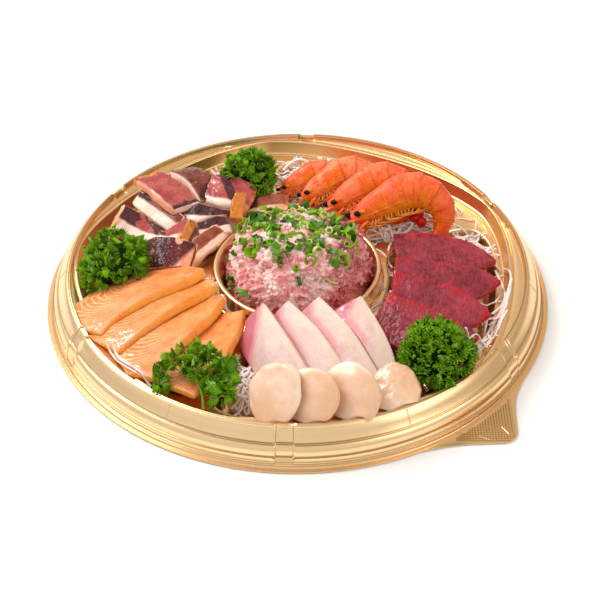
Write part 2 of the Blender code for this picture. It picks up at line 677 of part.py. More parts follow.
def trim(piece, other):
    """Cut the piece back until it clears its neighbour. A cut that leaves the mesh open or
    loses most of it is tried again with a slightly wider gap."""
    whole = bmesh.new()
    whole.from_mesh(piece.data)
    volume = whole.calc_volume()
    whole.free()
    for widening in WIDENINGS:
        cutter = swollen_copy(other, GAP * widening)
        mesh_data = cut_mesh(piece, cutter)
        bpy.data.objects.remove(cutter)
        closed = all(len(edge.link_faces) == 2 for edge in mesh_data.edges)
        if closed and mesh_data.calc_volume() > 0.4 * volume:
            mesh_data.to_mesh(piece.data)
            mesh_data.free()
            return
        mesh_data.free()
    print(f"{piece.name} could not be trimmed to clear {other.name}")


def clear_neighbours():
    """Firm pieces keep their shape; softer ones are trimmed to lie against them."""
    order = ("tray", "prawn", "tuna", "salmon", "yellowtail", "scallop", "squid",
             "minced_tuna", "parsley", "daikon")
    things = [o for kind in order for o in bpy.data.objects if o.name.startswith(kind)]
    for i, piece in enumerate(things):
        for other in things[:i]:
            if boxes_meet(box_of(piece), box_of(other)) and surfaces_meet(piece, other):
                trim(piece, other)


def main():
    for thing in list(bpy.data.objects):
        bpy.data.objects.remove(thing)
    make_tray()
    make_salmon()
    make_yellowtail()
    make_tuna()
    make_scallops()
    make_prawns()
    make_squid()
    make_mince()
    make_parsley()
    make_daikon()
    clear_neighbours()


main()
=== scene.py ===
# %% [markdown]
# # A party tray of sashimi
# The real thing is a thin gold tray, formed from one sheet, with five low compartments and a cup
# in the middle. Slices of salmon, yellowtail and tuna, scallops, grilled squid and boiled prawns
# lie on beds of shredded daikon, a mound of minced tuna fills the cup, and sprigs of curly
# parsley sit between them. The packed solids give every piece its place. This script makes the
# real surfaces around them.

# %% The frame and the tools
import json
from math import asin, atan2, cos, hypot, pi, radians, sin, tau

import bmesh
import bpy
import numpy as np
from mathutils import Matrix, Vector, noise
from mathutils.bvhtree import BVHTree

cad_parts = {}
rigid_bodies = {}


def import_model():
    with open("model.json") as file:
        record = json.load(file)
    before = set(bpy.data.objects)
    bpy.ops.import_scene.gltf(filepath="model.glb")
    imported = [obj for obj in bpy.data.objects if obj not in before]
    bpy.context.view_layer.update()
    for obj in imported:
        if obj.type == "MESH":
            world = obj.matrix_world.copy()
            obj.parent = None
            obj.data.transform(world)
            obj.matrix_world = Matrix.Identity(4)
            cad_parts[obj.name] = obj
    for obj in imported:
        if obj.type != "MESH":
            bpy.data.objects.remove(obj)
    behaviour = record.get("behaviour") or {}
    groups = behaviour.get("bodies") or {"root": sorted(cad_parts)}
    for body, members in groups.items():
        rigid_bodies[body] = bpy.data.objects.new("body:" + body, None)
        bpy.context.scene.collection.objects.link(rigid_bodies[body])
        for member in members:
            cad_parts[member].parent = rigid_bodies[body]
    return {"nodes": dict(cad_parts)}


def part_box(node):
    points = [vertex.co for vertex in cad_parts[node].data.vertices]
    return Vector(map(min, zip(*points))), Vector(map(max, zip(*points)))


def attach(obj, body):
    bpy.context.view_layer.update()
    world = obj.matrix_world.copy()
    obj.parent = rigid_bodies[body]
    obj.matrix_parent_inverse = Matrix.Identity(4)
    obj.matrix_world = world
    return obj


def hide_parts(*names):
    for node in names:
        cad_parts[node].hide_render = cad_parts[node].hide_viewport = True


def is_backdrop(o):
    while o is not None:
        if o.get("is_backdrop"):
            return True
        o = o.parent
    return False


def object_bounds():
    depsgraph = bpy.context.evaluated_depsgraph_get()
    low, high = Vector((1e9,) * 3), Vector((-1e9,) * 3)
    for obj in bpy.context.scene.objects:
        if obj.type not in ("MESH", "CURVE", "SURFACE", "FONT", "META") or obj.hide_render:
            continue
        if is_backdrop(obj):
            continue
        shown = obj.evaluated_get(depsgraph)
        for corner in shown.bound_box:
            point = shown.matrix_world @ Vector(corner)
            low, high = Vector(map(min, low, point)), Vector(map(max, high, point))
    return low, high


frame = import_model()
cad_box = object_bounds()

MM = 0.001
NODES = frame["nodes"]
print("nodes:", len(NODES), "size in mm:", [round(c / MM, 1) for c in cad_box[1] - cad_box[0]])

# %% [markdown]
# ## Camera, floor and light
# A tray like this is lit by a large soft light from the left and above, so the gold shows long
# clean highlights and the moist fish shows small ones. The camera has a long lens and looks down
# at forty degrees. A pale floor and a pale sky keep the gold bright, because metal only shows
# what is around it.

# %% Camera
CAMERA_AWAY = 0.91005
CAMERA_TILT = radians(39.994)
LENS_MM = 90.3
scene = bpy.context.scene


def put_in(name, data):
    """An object in the scene that shows the given data."""
    thing = bpy.data.objects.new(name, data)
    scene.collection.objects.link(thing)
    return thing


optics = bpy.data.cameras.new("camera")
optics.lens = LENS_MM
optics.sensor_width = 36
optics.shift_x = 0.0042
optics.shift_y = -0.0139
optics.clip_start = 0.01
camera = put_in("camera", optics)
camera.location = (0, -CAMERA_AWAY * cos(CAMERA_TILT), CAMERA_AWAY * sin(CAMERA_TILT))
level = Matrix.Rotation(pi / 2 - CAMERA_TILT, 4, "X")
roll = Matrix.Rotation(radians(-0.333), 4, "Z")
camera.matrix_world = Matrix.Translation(camera.location) @ level @ roll
scene.camera = camera
scene.view_settings.view_transform = "Standard"
print("camera", [round(c, 3) for c in camera.location])

# %% Nodes and their values
def add_node(tree, kind, inputs=None, **options):
    """Add a node, set its options, and fill or link its inputs."""
    made = tree.nodes.new(kind)
    for key, value in options.items():
        setattr(made, key, value)
    for key, value in (inputs or {}).items():
        if isinstance(value, Value):
            tree.links.new(value.socket, made.inputs[key])
        else:
            made.inputs[key].default_value = value
    return made


def value_of(tree, kind, inputs, output=0, **options):
    """What a new node hands out."""
    return Value(add_node(tree, kind, inputs, **options).outputs[output])


def tree_of(values):
    return next(value.tree for value in values if isinstance(value, Value))


def maths(operation, *values):
    return value_of(tree_of(values), "ShaderNodeMath", dict(enumerate(values)), operation=operation)


class Value:
    """What a node hands out. Sums and products of values add the nodes that work them out."""

    def __init__(self, socket):
        self.socket, self.tree = socket, socket.id_data

    def __add__(self, other):
        return maths("ADD", self, other)

    def __sub__(self, other):
        return maths("SUBTRACT", self, other)

    def __mul__(self, other):
        return maths("MULTIPLY", self, other)

    def times_add(self, factor, more):
        return maths("MULTIPLY_ADD", self, factor, more)

    def ranged(self, low, high, to_low=0.0, to_high=1.0):
        """Map a stretch of values to another with soft ends."""
        stretch = {"Value": self, "From Min": low, "From Max": high, "To Min": to_low, "To Max": to_high}
        return value_of(self.tree, "ShaderNodeMapRange", stretch, interpolation_type="SMOOTHSTEP")


print("a value:", Value.__doc__)

# %% Floor, sky and lights
def plain_finish(name, colour, roughness):
    made = bpy.data.materials.new(name)
    made.use_nodes = True
    shader = made.node_tree.nodes["Principled BSDF"]
    shader.inputs["Base Color"].default_value = (*colour, 1)
    shader.inputs["Roughness"].default_value = roughness
    return made


def plain_mesh(name, points, faces=(), edges=()):
    mesh = bpy.data.meshes.new(name)
    mesh.from_pydata([tuple(p) for p in points], edges, faces)
    return mesh


FLOOR_HALF = 3.0
FLOOR_DROP = 0.0002             # the floor lies a little lower, so the base never flickers


def add_floor():
    corners = [(x * FLOOR_HALF, y * FLOOR_HALF, -FLOOR_DROP) for x, y in ((-1, -1), (1, -1), (1, 1), (-1, 1))]
    mesh = plain_mesh("floor", corners, [(0, 1, 2, 3)])
    mesh.materials.append(plain_finish("floor", (0.93, 0.93, 0.93), 0.8))
    put_in("floor", mesh)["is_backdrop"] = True


def add_light(name, place, size, power, colour=(1, 1, 1)):
    lamp = bpy.data.lights.new(name, "AREA")
    lamp.shape = "RECTANGLE"
    lamp.size, lamp.size_y = size
    lamp.energy = power
    lamp.color = colour
    light = put_in(name, lamp)
    light.location = place
    light.rotation_euler = (-Vector(place)).to_track_quat("-Z", "Y").to_euler()


def colour_ramp(value, *stops):
    """Colours along a value, each at its own place."""
    made = add_node(value.tree, "ShaderNodeValToRGB", {"Fac": value})
    elements = made.color_ramp.elements
    elements.remove(elements[1])
    for k, (position, colour) in enumerate(stops):
        stop = elements.new(position) if k else elements[0]
        stop.position = position
        stop.color = (*colour, 1)
    return Value(made.outputs["Color"])


def add_sky():
    """A pale dome: brightest halfway up and at the front left, weaker and warmer on the right."""
    scene.world = bpy.data.worlds.new("studio")
    scene.world.use_nodes = True
    tree = scene.world.node_tree
    way = value_of(tree, "ShaderNodeTexCoord", {}, "Generated")
    height = value_of(tree, "ShaderNodeSeparateXYZ", {0: way}, "Z")
    shades = colour_ramp(height, (0.0, (0.52, 0.52, 0.53)), (0.5, (0.86, 0.86, 0.86)),
                         (1.0, (0.7, 0.7, 0.7)))
    towards = value_of(tree, "ShaderNodeVectorMath", {0: way, 1: (-0.6, -0.6, 0.0)}, "Value",
                       operation="DOT_PRODUCT")
    strength = towards.times_add(0.2, 0.86)
    warmth = colour_ramp(strength, (0.7, (1.0, 0.86, 0.66)), (0.92, (1, 1, 1)))
    tinted = value_of(tree, "ShaderNodeMix", {0: 1.0, 6: shades, 7: warmth}, 2, data_type="RGBA",
                      blend_type="MULTIPLY")
    background = tree.nodes["Background"]
    tree.links.new(tinted.socket, background.inputs["Color"])
    tree.links.new(strength.socket, background.inputs["Strength"])


add_floor()
add_sky()
add_light("key", (-0.75, 0.35, 1.1), (0.9, 0.7), 12, (1.0, 0.98, 0.95))
add_light("fill", (0.9, -0.55, 0.9), (0.8, 0.8), 4)
add_light("sparkle", (-0.5, 0.62, 0.85), (0.12, 0.12), 2.2)

# %% [markdown]
# ## Small helpers
# Every finished piece is a plain mesh at the origin. It rides on the one body of the model and,
# where it stands for a solid, hides that solid.

# %% Finished pieces
def add_piece(name, mesh, finish, stands_for=()):
    """Put a finished mesh into the scene on the model's body, and hide the solids it stands for."""
    mesh.name = name
    mesh.materials.clear()
    mesh.materials.append(finish)
    piece = put_in(name, mesh)
    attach(piece, "root")
    if stands_for:
        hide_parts(*stands_for)
    return piece


def baked(thing):
    """The mesh of an object with its modifiers applied. The object itself goes."""
    depsgraph = bpy.context.evaluated_depsgraph_get()
    mesh = bpy.data.meshes.new_from_object(thing.evaluated_get(depsgraph))
    bpy.data.objects.remove(thing)
    return mesh


def thickened(mesh, thickness, offset):
    """A sheet given its thickness: offset -1 puts it all behind the sheet, 0 on both sides."""
    thing = put_in(mesh.name, mesh)
    wall = thing.modifiers.new("wall", "SOLIDIFY")
    wall.thickness, wall.offset = thickness, offset
    return baked(thing)


def kept_in(mesh, low, high, margin=(0, 0, 0)):
    """Press the few points that reach out of a box, and its margin in mm, back to its sides."""
    margin = np.array(margin) * MM
    set_points(mesh, np.clip(points_of(mesh), np.array(low) - margin, np.array(high) + margin))


def smoothstep(low, high, value):
    t = np.clip((value - low) / (high - low), 0.0, 1.0)
    return t * t * (3 - 2 * t)


def rows_of(items, key):
    """The same vector of every item, as rows of numbers."""
    flat = np.empty(len(items) * 3)
    items.foreach_get(key, flat)
    return flat.reshape(-1, 3)


def points_of(mesh):
    return rows_of(mesh.vertices, "co")


def normals_of(mesh):
    return rows_of(mesh.vertex_normals, "vector")


def stored_vectors(mesh, name):
    return rows_of(mesh.attributes[name].data, "vector")


def set_points(mesh, points):
    mesh.vertices.foreach_set("co", np.asarray(points).ravel())
    mesh.update()


def store(mesh, **attributes):
    """Store one number or one vector for each vertex, or the same number for all of them."""
    for name, values in attributes.items():
        values = np.asarray(values, dtype=float)
        if values.ndim == 0:
            values = np.full(len(mesh.vertices), values)
        kind, key = ("FLOAT", "value") if values.ndim == 1 else ("FLOAT_VECTOR", "vector")
        mesh.attributes.new(name, kind, "POINT").data.foreach_set(key, values.ravel())


def bumps(points, size, seed=0):
    """Smooth noise from -1 to 1 with bumps of the given size in mm, one value a point."""
    shift = Vector((seed * 13.7, seed * 5.1, seed * 9.3))
    return np.array([noise.noise(Vector(p) / (size * MM) + shift) for p in points])

# %% [markdown]
# ## Shader groups
# Moist food is never one flat colour. Three effects come back in nearly every finish, so each is
# a node group: soft mottling, fine fibres along the grain, and a gloss that breaks up where the
# surface is wetter. A group only works out values. The shader itself stays in each material.

# %% Node helpers
def noise_value(vector, scale, detail=2.0, roughness=0.5, distortion=0.0):
    inputs = {"Vector": vector, "Scale": scale, "Detail": detail, "Roughness": roughness,
              "Distortion": distortion}
    return value_of(vector.tree, "ShaderNodeTexNoise", inputs, "Fac")


def mixed(amount, first, second):
    """Mix two colours. Each may be worked out or a plain colour."""
    first, second = ((*colour, 1) if isinstance(colour, tuple) else colour for colour in (first, second))
    return value_of(amount.tree, "ShaderNodeMix", {0: amount, 6: first, 7: second}, 2, data_type="RGBA")


def layered(body, *layers):
    """Lay colours over a body one after another, each with the share of it that shows."""
    for share, colour in layers:
        body = mixed(share, body, colour)
    return body


def vector_of(*numbers):
    return value_of(tree_of(numbers), "ShaderNodeCombineXYZ", dict(enumerate(numbers)))


def scaled(vector, factors):
    return value_of(vector.tree, "ShaderNodeVectorMath", {0: vector, 1: factors}, operation="MULTIPLY")


def new_group(name, kind, inputs, output):
    """A node group and what is given to it. Each input has a usual number or its socket's kind."""
    tree = bpy.data.node_groups.new(name, kind + "NodeTree")
    for label, usual in inputs.items():
        kind = {float: "Float", int: "Int"}.get(type(usual), usual)
        socket = tree.interface.new_socket(label, in_out="INPUT", socket_type="NodeSocket" + kind)
        if usual != kind:
            socket.default_value = usual
    tree.interface.new_socket(output[0], in_out="OUTPUT", socket_type="NodeSocket" + output[1])
    sockets = tree.nodes.new("NodeGroupInput").outputs
    return {label: Value(sockets[label]) for label in inputs}


def handed_out(value):
    """Close a group: hand the value out of it."""
    value.tree.links.new(value.socket, value.tree.nodes.new("NodeGroupOutput").inputs[0])
    return value.tree


print("helpers ready:", layered.__name__, handed_out.__name__)

# %% The three shared effects
def make_mottle():
    """Two sizes of soft patches, from 0 to 1."""
    given = new_group("mottle", "Shader", {"Vector": "Vector", "Scale": 100.0},
                            ("Value", "Float"))
    large = noise_value(given["Vector"], given["Scale"], 3.0)
    small = noise_value(given["Vector"], given["Scale"] * 3.7)
    return handed_out(small.times_add(0.35, large * 0.65).ranged(0.34, 0.66))


def make_fibres():
    """Fine streaks that run along the first axis of the vector."""
    given = new_group("fibres", "Shader", {"Vector": "Vector", "Width": 0.5,
                                                 "Length": 6.0}, ("Value", "Float"))
    across = maths("DIVIDE", 1.0, given["Width"])
    along = maths("DIVIDE", 1.0, given["Length"])
    stretched = scaled(given["Vector"], vector_of(along, across, across))
    return handed_out(noise_value(stretched, 1.0, 3.0, 0.6, 0.4).ranged(0.35, 0.65))


def make_wetness():
    """Roughness that falls where a film of moisture gathers."""
    given = new_group("wetness", "Shader", {
        "Vector": "Vector", "Scale": 250.0, "Wet": 0.18,
        "Dry": 0.45}, ("Roughness", "Float"))
    film = noise_value(given["Vector"], given["Scale"], 3.0, 0.6)
    return handed_out(film.ranged(0.4, 0.62).times_add(given["Dry"] - given["Wet"], given["Wet"]))


MOTTLE = make_mottle()
FIBRES = make_fibres()
WETNESS = make_wetness()
print("groups:", [tree.name for tree in bpy.data.node_groups])

# %% A finish in the making
SOFT = ("Subsurface Weight", "Subsurface Scale", "Subsurface Radius")
COAT = ("Coat Weight", "Coat Roughness")


class Finish:
    """A material in the making. Soft says how light goes through it, coat how it is glazed. The
    other sockets, too, are values that are the same all over."""

    def __init__(self, name, ior, level, soft=(), coat=(), **sockets):
        self.material = bpy.data.materials.new(name)
        self.material.use_nodes = True
        self.tree = self.material.node_tree
        self.shader = self.tree.nodes["Principled BSDF"]
        sockets |= {"IOR": ior, "Specular IOR Level": level, **dict(zip(SOFT, soft)), **dict(zip(COAT, coat))}
        for key, value in sockets.items():
            self.shader.inputs[key].default_value = value
        self.place = value_of(self.tree, "ShaderNodeTexCoord", {}, "Object")

    def stored(self, name, output="Fac"):
        """A number that every vertex carries, or a vector."""
        return value_of(self.tree, "ShaderNodeAttribute", {}, output, attribute_name=name)

    def axes(self, name):
        """The three numbers of a stored vector."""
        parts = add_node(self.tree, "ShaderNodeSeparateXYZ", {0: self.stored(name, "Vector")})
        return [Value(number) for number in parts.outputs]

    def effect(self, group, **inputs):
        return value_of(self.tree, "ShaderNodeGroup", inputs, node_tree=group)

    def mottle(self, scale):
        return self.effect(MOTTLE, Vector=self.place, Scale=scale)

    def fibres(self, width, length, grain=None):
        return self.effect(FIBRES, Vector=grain or self.stored("grain", "Vector"), Width=width,
                           Length=length)

    def wetness(self, scale, wet, dry):
        return self.effect(WETNESS, Vector=self.place, Scale=scale, Wet=wet, Dry=dry)

    def done(self, colour, roughness, height=None, depth=0.0, strength=1.0):
        """Plug everything in. The height stands for a relief so many mm deep."""
        plugs = {"Base Color": colour, "Roughness": roughness}
        if height is not None:
            relief = {"Height": height, "Distance": depth * MM, "Strength": strength}
            plugs["Normal"] = value_of(self.tree, "ShaderNodeBump", relief)
        for key, value in plugs.items():
            self.tree.links.new(value.socket, self.shader.inputs[key])
        return self.material


print("sockets for soft and coated finishes:", SOFT + COAT)

# %% [markdown]
# ## The tray
# The tray is vacuum formed from one thin gold sheet. Seen from outside inwards it has a flat
# flange with a milled edge, a skirt with fine lines, a pale band, a round bead and a broad slope,
# a narrow crest, two ledges and then the plate with its five compartments and the cup. It could
# be turned from a profile, but the inner ledge bows in five times and the flange has a lift tab,
# so the rings are worked out point by point: each ring is a radius rule and a height.

# %% Sizes of the tray
tray_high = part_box("tray")[1]
FLANGE_R = tray_high.x
CREST_Z = tray_high.z
SHEET = 0.8 * MM
CREST_R = FLANGE_R - 13.5 * MM
CREST_WIDTH = 1.9 * MM
LEDGE_Z = CREST_Z - 3.1 * MM
PLATE_Z = CREST_Z - 11.2 * MM
LEDGE_CORNER_R = FLANGE_R - 16.8 * MM
LEDGE_BOW = 7.6 * MM
WALL_RUN = 2.5 * MM
LOWER_LEDGE = 4.0 * MM
FIRST_DIVIDER = radians(27)
COMPARTMENTS = 5
SECTOR = tau / COMPARTMENTS
DIVIDER = 5.0 * MM
COMPARTMENT_INNER_R = FLANGE_R - 95.5 * MM
CORNER_POWER = 5.0
CUP_R = FLANGE_R - 100.0 * MM
CUP_Z = CREST_Z - 1.2 * MM
TAB_FRONT = FLANGE_R - 21.7 * MM
TAB_RIGHT = FLANGE_R - 31.1 * MM
TAB_CORNER_R = 9.0 * MM
TAB_FLARE = 4.0 * MM
TAB_AZIMUTH = radians(312)
TAB_SPREAD = radians(16)
NOTCH_FIRST = radians(27)       # six shallow channels cross the crest and the skirt
NOTCHES = 6
NOTCH_WIDTH = 9.0 * MM
NOTCH_DEPTH = 0.75 * MM
RIM_COLUMNS = 300
print("crest", round(CREST_Z / MM, 1), "mm high, plate", round(PLATE_Z / MM, 1), "mm")

# %% Radius rules
def ledge_r(azimuth):
    """Inner edge of the upper ledge, bowed in between two dividers."""
    middle = FIRST_DIVIDER + SECTOR / 2
    return LEDGE_CORNER_R - LEDGE_BOW * abs(cos((azimuth - middle) * COMPARTMENTS / 2)) ** 1.3


def flange_r(azimuth):
    """Flange edge: round, with the lift tab's square corner flared into it."""
    across, along = cos(azimuth), -sin(azimuth)
    if across <= 0.3 or along <= 0.3:
        return FLANGE_R
    low, high = FLANGE_R - 20 * MM, FLANGE_R + 40 * MM
    for _ in range(30):
        reach = (low + high) / 2
        dx = reach * across - (TAB_RIGHT - TAB_CORNER_R)
        dy = reach * along - (TAB_FRONT - TAB_CORNER_R)
        beyond = hypot(max(dx, 0), max(dy, 0)) + min(max(dx, dy), 0) - TAB_CORNER_R
        low, high = (low, reach) if beyond > 0 else (reach, high)
    lead = reach - FLANGE_R
    flared = (lead + hypot(lead, 2 * TAB_FLARE)) / 2
    fade = max(0.0, 1 - (abs(azimuth - TAB_AZIMUTH) / TAB_SPREAD) ** 6)
    return FLANGE_R + flared * fade


def notch_share(azimuth):
    """1 inside one of the six channels, 0 outside, with a steep side."""
    turn = (azimuth - NOTCH_FIRST + pi / NOTCHES) % (tau / NOTCHES) - pi / NOTCHES
    from_side = (NOTCH_WIDTH / 2 - abs(turn) * CREST_R) / (0.5 * MM)
    return min(1.0, max(0.0, from_side + 0.5))


def rim_azimuths():
    """Even columns, with close pairs at the sides of each channel and across the tab."""
    columns = {round(tau * i / RIM_COLUMNS, 6) for i in range(RIM_COLUMNS)}
    for i in range(NOTCHES):
        middle = NOTCH_FIRST + tau * i / NOTCHES
        for side in (-1, 1):
            for step in (-0.3, -0.1, 0.1, 0.3):
                edge = side * (NOTCH_WIDTH / 2 + step * MM) / CREST_R
                columns.add(round((middle + edge) % tau, 6))
    steps = 40
    for i in range(steps):
        columns.add(round(TAB_AZIMUTH + TAB_SPREAD * (2 * i / steps - 1), 6))
    return sorted(columns)


COLUMNS = rim_azimuths()
print("columns round the rim:", len(COLUMNS))

# %% [markdown]
# The skirt's profile is a short list of offsets from the flange edge: how far in, and how high.
# The bead is an arc between two of them. Close pairs of points make the crisp lines, because a
# step of a third of a millimetre catches the light as a line does.

# %% The skirt's profile
# Every pair is how far in from the flange edge and how high, in mm.
FOOT_LINE = ((2.4, 0.8), (2.9, 1.3), (3.1, 2.4), (3.5, 2.6), (3.6, 3.4), (4.0, 3.6), (4.1, 4.3), (4.3, 4.5),
             (4.7, 6.5), (4.4, 6.8), (4.4, 7.4), (4.9, 7.6))
SLOPE_LINE = ((7.2, 13.1), (7.8, 13.3), (7.6, 13.9), (8.1, 14.2), (7.9, 14.8), (8.3, 15.2), (10.3, 18.1),
              (12.5, 21.2), (12.9, 21.5), (12.9, 22.1))
CREST_LINE = ((0.0, -0.1), (0.4, 0.0), (1.0, 0.0), (1.2, -0.35), (1.5, -0.35), (1.9, -0.2), (2.3, -0.9),
              (2.5, -2.9))      # in from the crest's corner and up from its top
BEAD_BULGE = 0.7 * MM
BEAD_STEPS = 7


def bead(start, end, bulge, steps):
    """An outward arc from start to end."""
    a, b = Vector(start), Vector(end)
    out = Vector((b.y - a.y, a.x - b.x)).normalized()
    return [tuple(a.lerp(b, i / steps) + out * bulge * sin(pi * i / steps)) for i in range(1, steps)]


def skirt_profile():
    """Pairs of radius and height from the flange up to the crest's inner side."""
    foot = [(FLANGE_R - inwards * MM, z * MM) for inwards, z in FOOT_LINE]
    slope = [(FLANGE_R - inwards * MM, z * MM) for inwards, z in SLOPE_LINE]
    crest = [(CREST_R - inwards * MM, CREST_Z + z * MM) for inwards, z in CREST_LINE]
    return foot + bead(foot[-1], slope[0], BEAD_BULGE, BEAD_STEPS) + slope + crest


SKIRT = skirt_profile()


def skirt_ring(radius, height):
    """One ring of the skirt. Inside a channel it lies deeper, most of all on the slope."""
    ring = []
    for azimuth in COLUMNS:
        above_foot = min(1.0, max(0.0, (height - 3 * MM) / (4 * MM)))
        depth = NOTCH_DEPTH * notch_share(azimuth) * above_foot
        r = radius - depth
        drop = depth * 0.6 if height > LEDGE_Z else 0.0
        ring.append((r * cos(azimuth), r * sin(azimuth), height - drop))
    return ring


def ruled_ring(rule, height):
    return [(rule(a) * cos(a), rule(a) * sin(a), height) for a in COLUMNS]


UPPER_LEDGE = ((3.4, 0.0), (2.9, -0.45), (2.5, -0.45), (2.1, 0.0), (0.5, 0.0), (0.1, -0.15), (-0.2, -0.6))
LOWER_LINE = ((-0.5, 0.7), (0.1, 0.15), (0.6, 0.0), (1.3, 0.0), (1.6, -0.4), (2.0, -0.4), (2.4, 0.0),
              (2.8, 0.0))


def outer_rings():
    rings = [ruled_ring(flange_r, SHEET - 0.25 * MM),
             ruled_ring(lambda a: flange_r(a) - 0.2 * MM, SHEET)]
    rings += [skirt_ring(r, z) for r, z in SKIRT]
    innermost = CREST_R - CREST_WIDTH - 0.8 * MM
    for out, drop in UPPER_LEDGE:
        rings.append(ruled_ring(lambda a: min(ledge_r(a) + out * MM, innermost), LEDGE_Z + drop * MM))
    for inwards, rise in LOWER_LINE:
        rings.append(ruled_ring(lambda a: ledge_r(a) - WALL_RUN - inwards * MM, PLATE_Z + rise * MM))
    return rings


print("rings from flange to plate:", len(outer_rings()))

# %% Compartments and cup
def compartment_outline(index, inset, count=96):
    """Rounded outline of one compartment at the plate, moved in by inset."""
    middle = FIRST_DIVIDER + SECTOR * (index + 0.5)
    points = []
    for i in range(count):
        turn = tau * (i + 0.5) / count
        across = abs(cos(turn)) ** (2 / CORNER_POWER) * (1 if cos(turn) > 0 else -1)
        out = abs(sin(turn)) ** (2 / CORNER_POWER) * (1 if sin(turn) > 0 else -1)
        azimuth = middle
        for _ in range(6):
            inner = COMPARTMENT_INNER_R + inset
            outer = ledge_r(azimuth) - WALL_RUN - LOWER_LEDGE - inset
            r = inner + (outer - inner) * (out + 1) / 2
            half = r * sin(SECTOR / 2) - DIVIDER / 2 - inset
            azimuth = middle - asin(across * half / r)
        points.append((r * cos(azimuth), r * sin(azimuth)))
    return points


WALL_LEVELS = (                 # inset in mm, height above the plate or the floor in mm
    (-0.9, PLATE_Z), (-0.5, PLATE_Z), (-0.1, PLATE_Z - 0.15 * MM), (0.25, PLATE_Z - 0.6 * MM),
    (0.5, PLATE_Z - 1.4 * MM), (2.6, SHEET + 2.2 * MM), (3.0, SHEET + 1.0 * MM),
    (3.7, SHEET + 0.3 * MM), (4.6, SHEET))


CUP_LEVELS = (                  # out from the cup's edge in mm, and a level with a step up in mm
    (2.6, PLATE_Z, 0.0), (2.1, PLATE_Z, 0.0), (1.5, PLATE_Z, 0.3), (1.0, PLATE_Z, 1.5), (0.1, CUP_Z, -1.2),
    (-0.3, CUP_Z, -0.3), (-0.9, CUP_Z, 0.0), (-2.2, CUP_Z, 0.0), (-2.7, CUP_Z, -0.4), (-3.1, CUP_Z, -0.9),
    (-3.5, CUP_Z, -2.0), (-7.0, SHEET, 2.0), (-8.0, SHEET, 0.4), (-9.0, SHEET, 0.0))
CUP_STEPS = 160


def bridge(work, outer, inner):
    """Quads between two closed rings of the same length."""
    for i in range(len(outer)):
        j = (i + 1) % len(outer)
        work.faces.new((outer[i], outer[j], inner[j], inner[i]))


def ring_edges(loop):
    edges = []
    for a, b in zip(loop, loop[1:] + loop[:1]):
        edges.append(next(edge for edge in a.link_edges if edge.other_vert(a) is b))
    return edges


def make_tray():
    """The whole sheet as one skin, then its thickness."""
    sheet = bmesh.new()
    stacks = [outer_rings()]
    for index in range(COMPARTMENTS):
        stacks.append([[(x, y, z) for x, y in compartment_outline(index, inset * MM)]
                       for inset, z in WALL_LEVELS])
    turns = [tau * i / CUP_STEPS for i in range(CUP_STEPS)]
    stacks.append([[((CUP_R + out * MM) * cos(a), (CUP_R + out * MM) * sin(a), level + rise * MM)
                    for a in turns] for out, level, rise in CUP_LEVELS])
    open_loops = []
    for k, stack in enumerate(stacks):
        rings = [[sheet.verts.new(p) for p in ring] for ring in stack]
        for outer, inner in zip(rings, rings[1:]):
            bridge(sheet, outer, inner)
        if k == 0:
            open_loops.append(rings[-1])
        else:
            sheet.faces.new(rings[-1])
            open_loops.append(rings[0])
    edges = [edge for loop in open_loops for edge in ring_edges(loop)]
    bmesh.ops.triangle_fill(sheet, use_beauty=True, use_dissolve=False, edges=edges)
    bmesh.ops.recalc_face_normals(sheet, faces=sheet.faces)
    plate = max(sheet.faces, key=lambda face: face.calc_center_median().z)
    if plate.normal.z < 0:
        bmesh.ops.reverse_faces(sheet, faces=sheet.faces)
    mesh = bpy.data.meshes.new("tray")
    sheet.to_mesh(mesh)
    sheet.free()
    mesh.shade_smooth()
    mesh.set_sharp_from_angle(angle=radians(50))
    return thickened(mesh, SHEET * 0.6, -1.0)


tray_mesh = make_tray()
print("tray faces:", len(tray_mesh.polygons))

# %% [markdown]
# Gold sheet is a bright metal: it has almost no colour of its own between the highlights, so the
# finish is fully metallic with a pale yellow base. Forming leaves it slightly uneven, and the
# bead is brushed along the rim. The brushing is a streak pattern on the turn angle, so each vertex
# stores its own angle round the tray and its place up the skirt.

# %% Gold finish
def gold_finish():
    sheet = Finish("tray_gold", 1.5, 0.5, Metallic=1.0)
    lie = sheet.stored("turned", "Vector")
    brush = noise_value(scaled(lie, (0.25, 3.0, 1.0)), 1.0, 3.0, 0.6)
    height, radius = sheet.axes("turned")[1:]
    bead_share = height.ranged(7.2, 8.2) * height.ranged(12.6, 13.4, 1.0, 0.0) * radius.ranged(141.0, 142.0)
    on_bead = brush * bead_share
    tone = layered(
        mixed(sheet.mottle(14.0), (0.99, 0.69, 0.385), (0.9702, 0.6624, 0.3542)),
        (sheet.stored("shade") * 0.75, (0.42, 0.235, 0.085)),
        # painted reflection: the inner wall between plate and upper ledge is tinted warm orange, standing in
        # for the food and the far side of the tray that it mirrors
        (sheet.stored("wall") * 0.7, (0.9, 0.46, 0.13)))
    return sheet.done(tone, on_bead.times_add(0.08, 0.27), on_bead, 0.03, 0.3)


GOLD = gold_finish()


def store_turn(mesh):
    """Turn angle in mm along the rim, and height and radius in mm."""
    points = points_of(mesh)
    angle = np.arctan2(points[:, 1], points[:, 0])
    radius = np.hypot(points[:, 0], points[:, 1])
    store(mesh, turned=np.column_stack((angle * FLANGE_R, points[:, 2], radius)) / MM)


GROOVE_LEVELS = (2.4, 3.4, 4.3, 6.8, 7.5, 13.3, 14.2, 14.8)
SKIRT_STARTS = 141.0            # radii in mm outside which the skirt's foot and its slope lie
SLOPE_STARTS = 134.0


